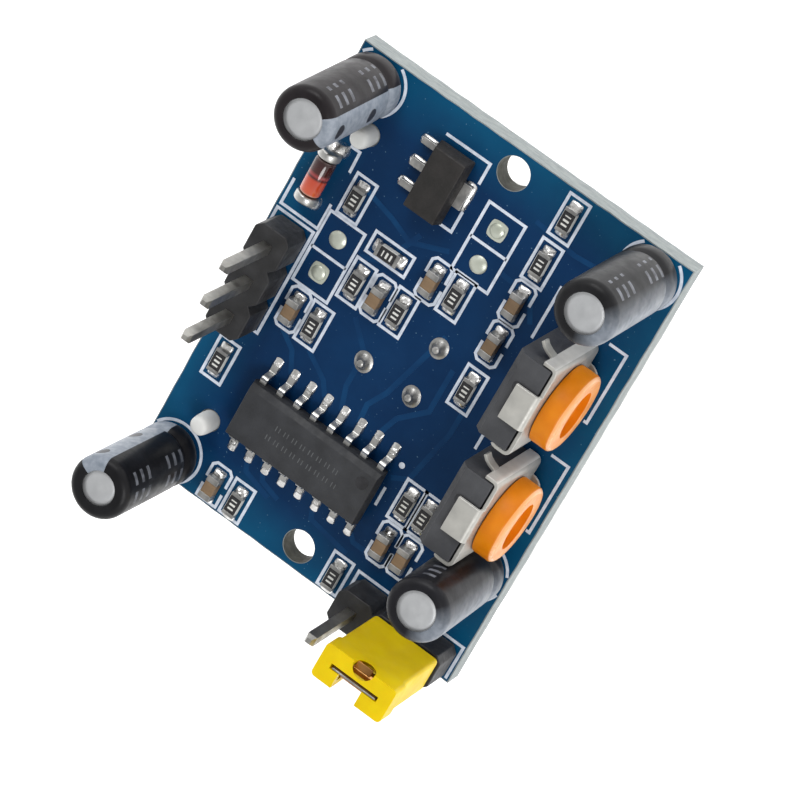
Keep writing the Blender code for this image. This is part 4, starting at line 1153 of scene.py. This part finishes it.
def make_sensor():
    for node, material in (("pir_can", NICKEL), ("pir_header", GOLD), ("pir_window", WINDOW),
                           ("pir_element", SENSOR_CERAMIC)):
        paint(node, material)
    joints = bmesh.new()
    for i in (1, 2, 3):
        paint(f"pir_lead_{i}", TIN)
        middle = centre_mm(f"pir_lead_{i}")
        add_joint(joints, (middle.x, middle.y, 0), 0.66, 0.42, stub=0.24, tip=0.56, wobble=0.07, steps=24)
    finish_piece("sensor_solder", joints, CHIP_END, smooth=60)


make_sensor()


# ---- lens

DOME_R, DOME_WALL = 10.8, 0.8
LENS_CENTRE_Y = -0.1
LENS_TIP, DOME_CENTRE_Z = -16.2, -5.4
SKIRT_TOP, SKIRT_FOOT, SKIRT_HALF, SKIRT_CORNER = -1.7, -4.9, 11.5, 1.2
PEG_TOP = 1.65
FACET_RINGS = ((0.0, 17.0, 1), (17.0, 37.0, 6), (37.0, 57.0, 10), (57.0, 76.0, 14))
LENS_STEPS = 168


def square_reach(angle, half, corner):
    """Distance from the middle of a rounded square to its outline along an angle."""
    c, s = abs(cos(angle)), abs(sin(angle))
    reach = half / max(c, s)
    x, y = reach * c, reach * s
    core = half - corner
    if x > core and y > core:
        b = core * (c + s)
        reach = b + sqrt(max(0.0, b * b - 2 * core * core + corner * corner))
    return reach


def facet_depth(polar, azimuth):
    """How deep the dome's outside is pressed in along the seams between its facets, in mm."""
    for start, end, count in FACET_RINGS:
        if start <= polar < end:
            to_ring = min(polar - start if start else 90.0, end - polar)
            sector = 360.0 / count
            across = (azimuth + (sector / 2 if count % 4 else 0)) % sector
            to_side = 90.0 if count == 1 else min(across, sector - across) * sin(radians(max(polar, 8)))
            seam = min(to_ring, to_side)
            return 0.22 * exp(-(seam / 0.6) ** 2) + 0.012 * min(seam, 8.0) / 8.0
    return 0.0


def dome_ring(polar, radius, facets):
    """One ring of the dome, from the rim down to the tip."""
    ring = []
    for i in range(LENS_STEPS):
        azimuth = 360.0 * i / LENS_STEPS
        r = radius - (facet_depth(polar, azimuth) if facets else 0.0)
        a, p = radians(azimuth), radians(polar)
        ring.append((r * sin(p) * cos(a), r * sin(p) * sin(a), DOME_CENTRE_Z - r * cos(p)))
    return ring


def square_ring(half, corner, z):
    ring = []
    for i in range(LENS_STEPS):
        a = 2 * pi * i / LENS_STEPS
        reach = square_reach(a, half, corner)
        ring.append((reach * cos(a), reach * sin(a), z))
    return ring


def make_lens():
    rise = SKIRT_FOOT - DOME_CENTRE_Z
    outer_polar = 90 + degrees(asin(rise / DOME_R))
    inner_r = DOME_R - DOME_WALL
    roof = SKIRT_FOOT + DOME_WALL
    inner_polar = 90 + degrees(asin((roof - DOME_CENTRE_Z) / inner_r))
    steps = 46
    rings = [dome_ring(2.0 + (outer_polar - 2.0) * i / steps, DOME_R, True) for i in range(steps + 1)]
    half, corner = SKIRT_HALF, SKIRT_CORNER
    rings += [square_ring(half - 0.15, corner, SKIRT_FOOT), square_ring(half, corner, SKIRT_FOOT + 0.15),
              square_ring(half, corner, SKIRT_TOP - 0.05), square_ring(half - 0.05, corner, SKIRT_TOP)]
    inside = half - DOME_WALL
    rings += [square_ring(inside + 0.05, corner / 2, SKIRT_TOP),
              square_ring(inside, corner / 2, SKIRT_TOP - 0.05), square_ring(inside, corner / 2, roof)]
    rings += [dome_ring(inner_polar - (inner_polar - 3.0) * i / 24, inner_r, False) for i in range(25)]
    bm = bmesh.new()
    loops = [[bm.verts.new(point) for point in ring] for ring in rings]
    for below, above in zip(loops, loops[1:]):
        for i in range(LENS_STEPS):
            j = (i + 1) % LENS_STEPS
            bm.faces.new((below[i], below[j], above[j], above[i]))
    for loop, tip in ((loops[0], LENS_TIP), (loops[-1], LENS_TIP + DOME_WALL)):
        pole = bm.verts.new((0, 0, tip))
        for i in range(LENS_STEPS):
            bm.faces.new((loop[i], loop[(i + 1) % LENS_STEPS], pole))
    for x, y in PEG_PLACES:
        top = PEG_TOP
        profile = [(0, top), (0.34, top - 0.01), (0.50, top - 0.08), (0.60, top - 0.24), (0.64, top - 0.55),
                   (0.66, top - 0.95), (0.66, top - 1.75), (0.60, roof + 0.6), (0.66, roof + 0.05),
                   (0.0, roof + 0.05)]
        add_lathe(bm, profile, 24, matrix=Matrix.Translation((x, y - LENS_CENTRE_Y, 0)))
    finish_piece("lens_cap", bm, LENS, "lens", at=(0, LENS_CENTRE_Y, 0),
                 replaces=("lens_dome",), smooth=50)


make_lens()


# ---- printed legend

LINE = 0.19
LEGEND_LINES = (
    # output header
    ((-3.5, -9.0), (-3.5, -11.72), (4.05, -11.72), (4.05, -9.0), (-3.5, -9.0)),
    # jumper header
    ((15.3, 3.82), (12.92, 3.82), (12.92, 11.74), (15.3, 11.74)),
    # integrated circuit
    ((7.33, 2.62), (8.69, 2.62)),
    # regulator
    ((-13.62, -4.89), (-13.64, -1.68), (-12.18, -1.68)),
    ((-10.16, -1.7), (-8.7, -1.7), (-8.7, -2.82)),
    # empty places
    ((-11.7, -0.6), (-6.83, -0.6), (-6.83, 2.04), (-11.7, 2.04), (-11.7, -0.6)),
    ((-9.27, -0.6), (-9.27, 2.04)),
    ((-5.33, -8.75), (-0.26, -8.75), (-0.26, -6.16), (-5.33, -6.16), (-5.33, -8.75)),
    ((-2.77, -8.75), (-2.77, -6.16)),
    # diode
    ((-5.66, -11.66), (-3.85, -11.66), (-3.85, -8.9), (-5.65, -8.9)),
    ((-9.45, -9.6), (-9.45, -8.9), (-8.0, -8.86)),
    # trimmers
    ((-9.95, 5.7), (-6.18, 5.7)),
    ((-8.75, 9.87), (-8.75, 11.12), (-3.8, 11.12), (-3.8, 10.9)),
    ((-2.0, 6.15), (1.8, 6.15)),
    ((-0.8, 10.3), (-0.8, 11.55), (4.15, 11.55), (4.15, 11.3)),
)


def on_board(line, closed):
    """The stretches of a line that lie on the board, clear of its edge."""
    low, high = BOARD_LOW, BOARD_HIGH
    margin = 0.13

    def inside(point):
        return (low.x + margin < point[0] < high.x - margin) and (low.y + margin < point[1] < high.y - margin)

    if all(inside(point) for point in line):
        return [(line, closed)]
    if closed:
        first_out = next(i for i, point in enumerate(line) if not inside(point))
        line = line[first_out:] + line[:first_out + 1]
    runs, run = [], []
    for point in line:
        if inside(point):
            run.append(point)
        elif run:
            runs.append((run, False))
            run = []
    if run:
        runs.append((run, False))
    return [(stretch, False) for stretch, _ in runs if len(stretch) > 1]


def make_legend():
    bm = bmesh.new()
    for points in LEGEND_LINES:
        closed = points[0] == points[-1]
        add_ribbon(bm, points[:-1] if closed else points, LINE, 0.0, INK, closed=closed)
    for node in RESISTORS + CERAMICS:
        x, y, along_y = place_of(node)
        half_x, half_y = 1.42, 0.72
        if along_y:
            half_x, half_y = half_y, half_x
        if node in RESISTORS:
            lines = [([(-half_x, -half_y), (half_x, -half_y), (half_x, half_y), (-half_x, half_y)], True)]
        else:
            lines = []
            for side in (-1, 1):
                hook = ((0.25, -half_y), (half_x - 0.25, -half_y), (half_x, 0.25 - half_y),
                        (half_x, half_y - 0.25), (half_x - 0.25, half_y), (0.25, half_y))
                lines.append(([(side * px, py) for px, py in hook], False))
        for line, closed in lines:
            edge = BOARD_HIGH.x - 0.25
            placed = [(min(x + px, edge), y + py) for px, py in line]
            add_ribbon(bm, placed, LINE, 0.0, INK, closed=closed)
    for number in sorted(SLEEVES):
        foot, _ = can_axis(f"capacitor_{number}_can")
        for line, closed in on_board(circle(foot.x, foot.y, 2.02, 56), True):
            add_ribbon(bm, line, LINE, 0.0, INK, closed=closed)
    add_prism(bm, circle(5.51, 2.82, 0.2, 20), 0.0, INK)
    finish_piece("legend_top", bm, LEGEND, smooth=0)


make_legend()


# ---- copper seen through the mask

TRACES = (
    ((5.0, -2.1), (3.4, -2.6), (1.0, -2.6), (-0.6, -4.2)),
    ((5.0, -0.8), (3.6, -0.9), (2.2, -0.2), (-3.0, 1.2)),
    ((5.0, 0.5), (3.2, 1.1), (1.6, 2.6), (-1.5, 2.6)),
    ((5.0, -3.3), (4.0, -4.0), (3.0, -5.6), (1.4, -6.4)),
    ((5.0, -5.9), (3.6, -6.6), (2.4, -8.4)),
    ((10.8, -5.9), (12.0, -5.4), (12.6, -3.4)),
    ((10.8, -4.7), (11.9, -4.2), (12.3, -2.8)),
    ((10.8, -0.8), (12.0, -0.4), (12.5, 2.6)),
    ((10.8, 1.8), (11.6, 2.6), (11.6, 3.6)),
    ((6.6, 2.6), (6.0, 3.6), (2.0, 4.4), (-1.5, 4.4)),
    ((-4.0, -5.8), (-4.6, -4.4), (-7.4, -3.2)),
    ((-7.8, -7.6), (-7.2, -5.2), (-6.6, -3.6), (-7.6, -1.2)),
    ((-8.4, 2.2), (-8.2, 4.4), (-6.8, 5.2)),
    ((-12.4, 2.4), (-12.0, 5.4), (-12.2, 7.4)),
)


def make_traces():
    bm = bmesh.new()
    for number, points in enumerate(TRACES):
        add_ribbon(bm, points, 0.34, 0.0, 0.006 + 0.0004 * number)
    finish_piece("top_traces", bm, TRACE, smooth=0)


make_traces()


# ---- pads of the empty places

SQUARE_PADS = ((-10.46, 0.69), (-1.58, -7.5))
ROUND_PADS = ((-8.0, 0.7), (-4.03, -7.47))


def make_pads():
    bm = bmesh.new()
    for x, y in SQUARE_PADS:
        add_mound(bm, (x - 0.62, y - 0.60), (x + 0.62, y + 0.60), 0.0, 0.05, steps=8)
        add_lathe(bm, [(0, 0.2), (0.26, 0.18), (0.42, 0.12), (0.5, 0.05), (0.5, 0.02), (0, 0.02)], 24,
                  matrix=Matrix.Translation((x, y, 0)))
    for x, y in ROUND_PADS:
        profile = [(0, 0.18), (0.25, 0.16), (0.42, 0.12), (0.54, 0.05), (0.58, 0.02), (0.58, -0.01), (0, -0.01)]
        add_lathe(bm, profile, 28, matrix=Matrix.Translation((x, y, 0)))
    for x, y in SQUARE_PADS + ROUND_PADS:
        profile = [(0, -0.1), (0.45, -0.07), (0.62, -0.02), (0.66, 0.01), (0, 0.01)]
        add_lathe(bm, profile, 28, matrix=Matrix.Translation((x, y, BOARD_LOW.z)))
    finish_piece("spare_pads", bm, PAD, smooth=60)


make_pads()


# ---- camera, light and floor

CAMERA_PLACE = (-121.68, 64.57, 259.98)
CAMERA_RIGHT, CAMERA_DOWN = (-0.4543, 0.7906, -0.4105), (0.7858, 0.5727, 0.2334)
FOCAL_LENGTH, SENSOR_WIDTH = 223.36, 36.0


def look(name, place, right, down):
    """Rotation of a camera from the directions of its picture's right and down."""
    right, down = Vector(right).normalized(), Vector(down).normalized()
    forward = right.cross(down)
    down = forward.cross(right)
    rotation = Matrix((right, -down, -forward)).transposed()
    camera = bpy.data.objects.new(name, bpy.data.cameras.new(name))
    camera.matrix_world = Matrix.Translation(Vector(place) * MM) @ rotation.to_4x4()
    bpy.context.scene.collection.objects.link(camera)
    return camera


def soft_light(name, place, target, size, power):
    light = bpy.data.lights.new(name, "AREA")
    light.shape = "DISK"
    light.size = size
    light.energy = power
    lamp = bpy.data.objects.new(name, light)
    lamp.location = place
    lamp.rotation_euler = (Vector(target) - Vector(place)).to_track_quat("-Z", "Y").to_euler()
    bpy.context.scene.collection.objects.link(lamp)


def make_studio():
    camera = look("Camera", CAMERA_PLACE, CAMERA_RIGHT, CAMERA_DOWN)
    camera.data.lens = FOCAL_LENGTH
    camera.data.sensor_width = SENSOR_WIDTH
    camera.data.clip_start = 0.01
    camera.data.clip_end = 20.0
    bpy.context.scene.camera = camera

    bm = bmesh.new()
    bmesh.ops.create_grid(bm, x_segments=8, y_segments=8, size=3.0)
    mesh = bpy.data.meshes.new("floor")
    bm.to_mesh(mesh)
    bm.free()
    floor = bpy.data.objects.new("floor", mesh)
    floor.location = (0, 0, LENS_TIP * MM - 0.0002)
    bpy.context.scene.collection.objects.link(floor)
    shade = Shade("studio_floor")
    shade.colour(shade.between(shade.noise(0.002, 2.0), (0.93, 0.93, 0.93), (0.95, 0.95, 0.95)))
    shade.set("Roughness", 0.9)
    shade.set("Emission Color", (1.0, 1.0, 1.0, 1.0))
    shade.set("Emission Strength", 0.45)
    mesh.materials.append(shade.material)

    world = bpy.data.worlds.new("studio")
    bpy.context.scene.world = world
    world.use_nodes = True
    background = world.node_tree.nodes["Background"]
    background.inputs["Color"].default_value = (1.0, 1.0, 1.0, 1.0)
    # the studio is bright all round and dimmer overhead
    nodes, links = world.node_tree.nodes, world.node_tree.links
    split = nodes.new("ShaderNodeSeparateXYZ")
    height = nodes.new("ShaderNodeMapRange")
    for socket, value in (("From Min", 0.05), ("From Max", 0.95), ("To Min", 1.15), ("To Max", 0.45)):
        height.inputs[socket].default_value = value
    links.new(nodes.new("ShaderNodeTexCoord").outputs["Generated"], split.inputs[0])
    links.new(split.outputs["Z"], height.inputs["Value"])
    links.new(height.outputs["Result"], background.inputs["Strength"])
    soft_light("key", (0.15, 0.55, 0.75), (0, 0, 0), 0.45, 3.4)
    soft_light("fill", (-0.6, -0.25, 0.5), (0, 0, 0), 0.35, 2.2)
    bpy.context.scene.view_settings.view_transform = "Standard"


make_studio()
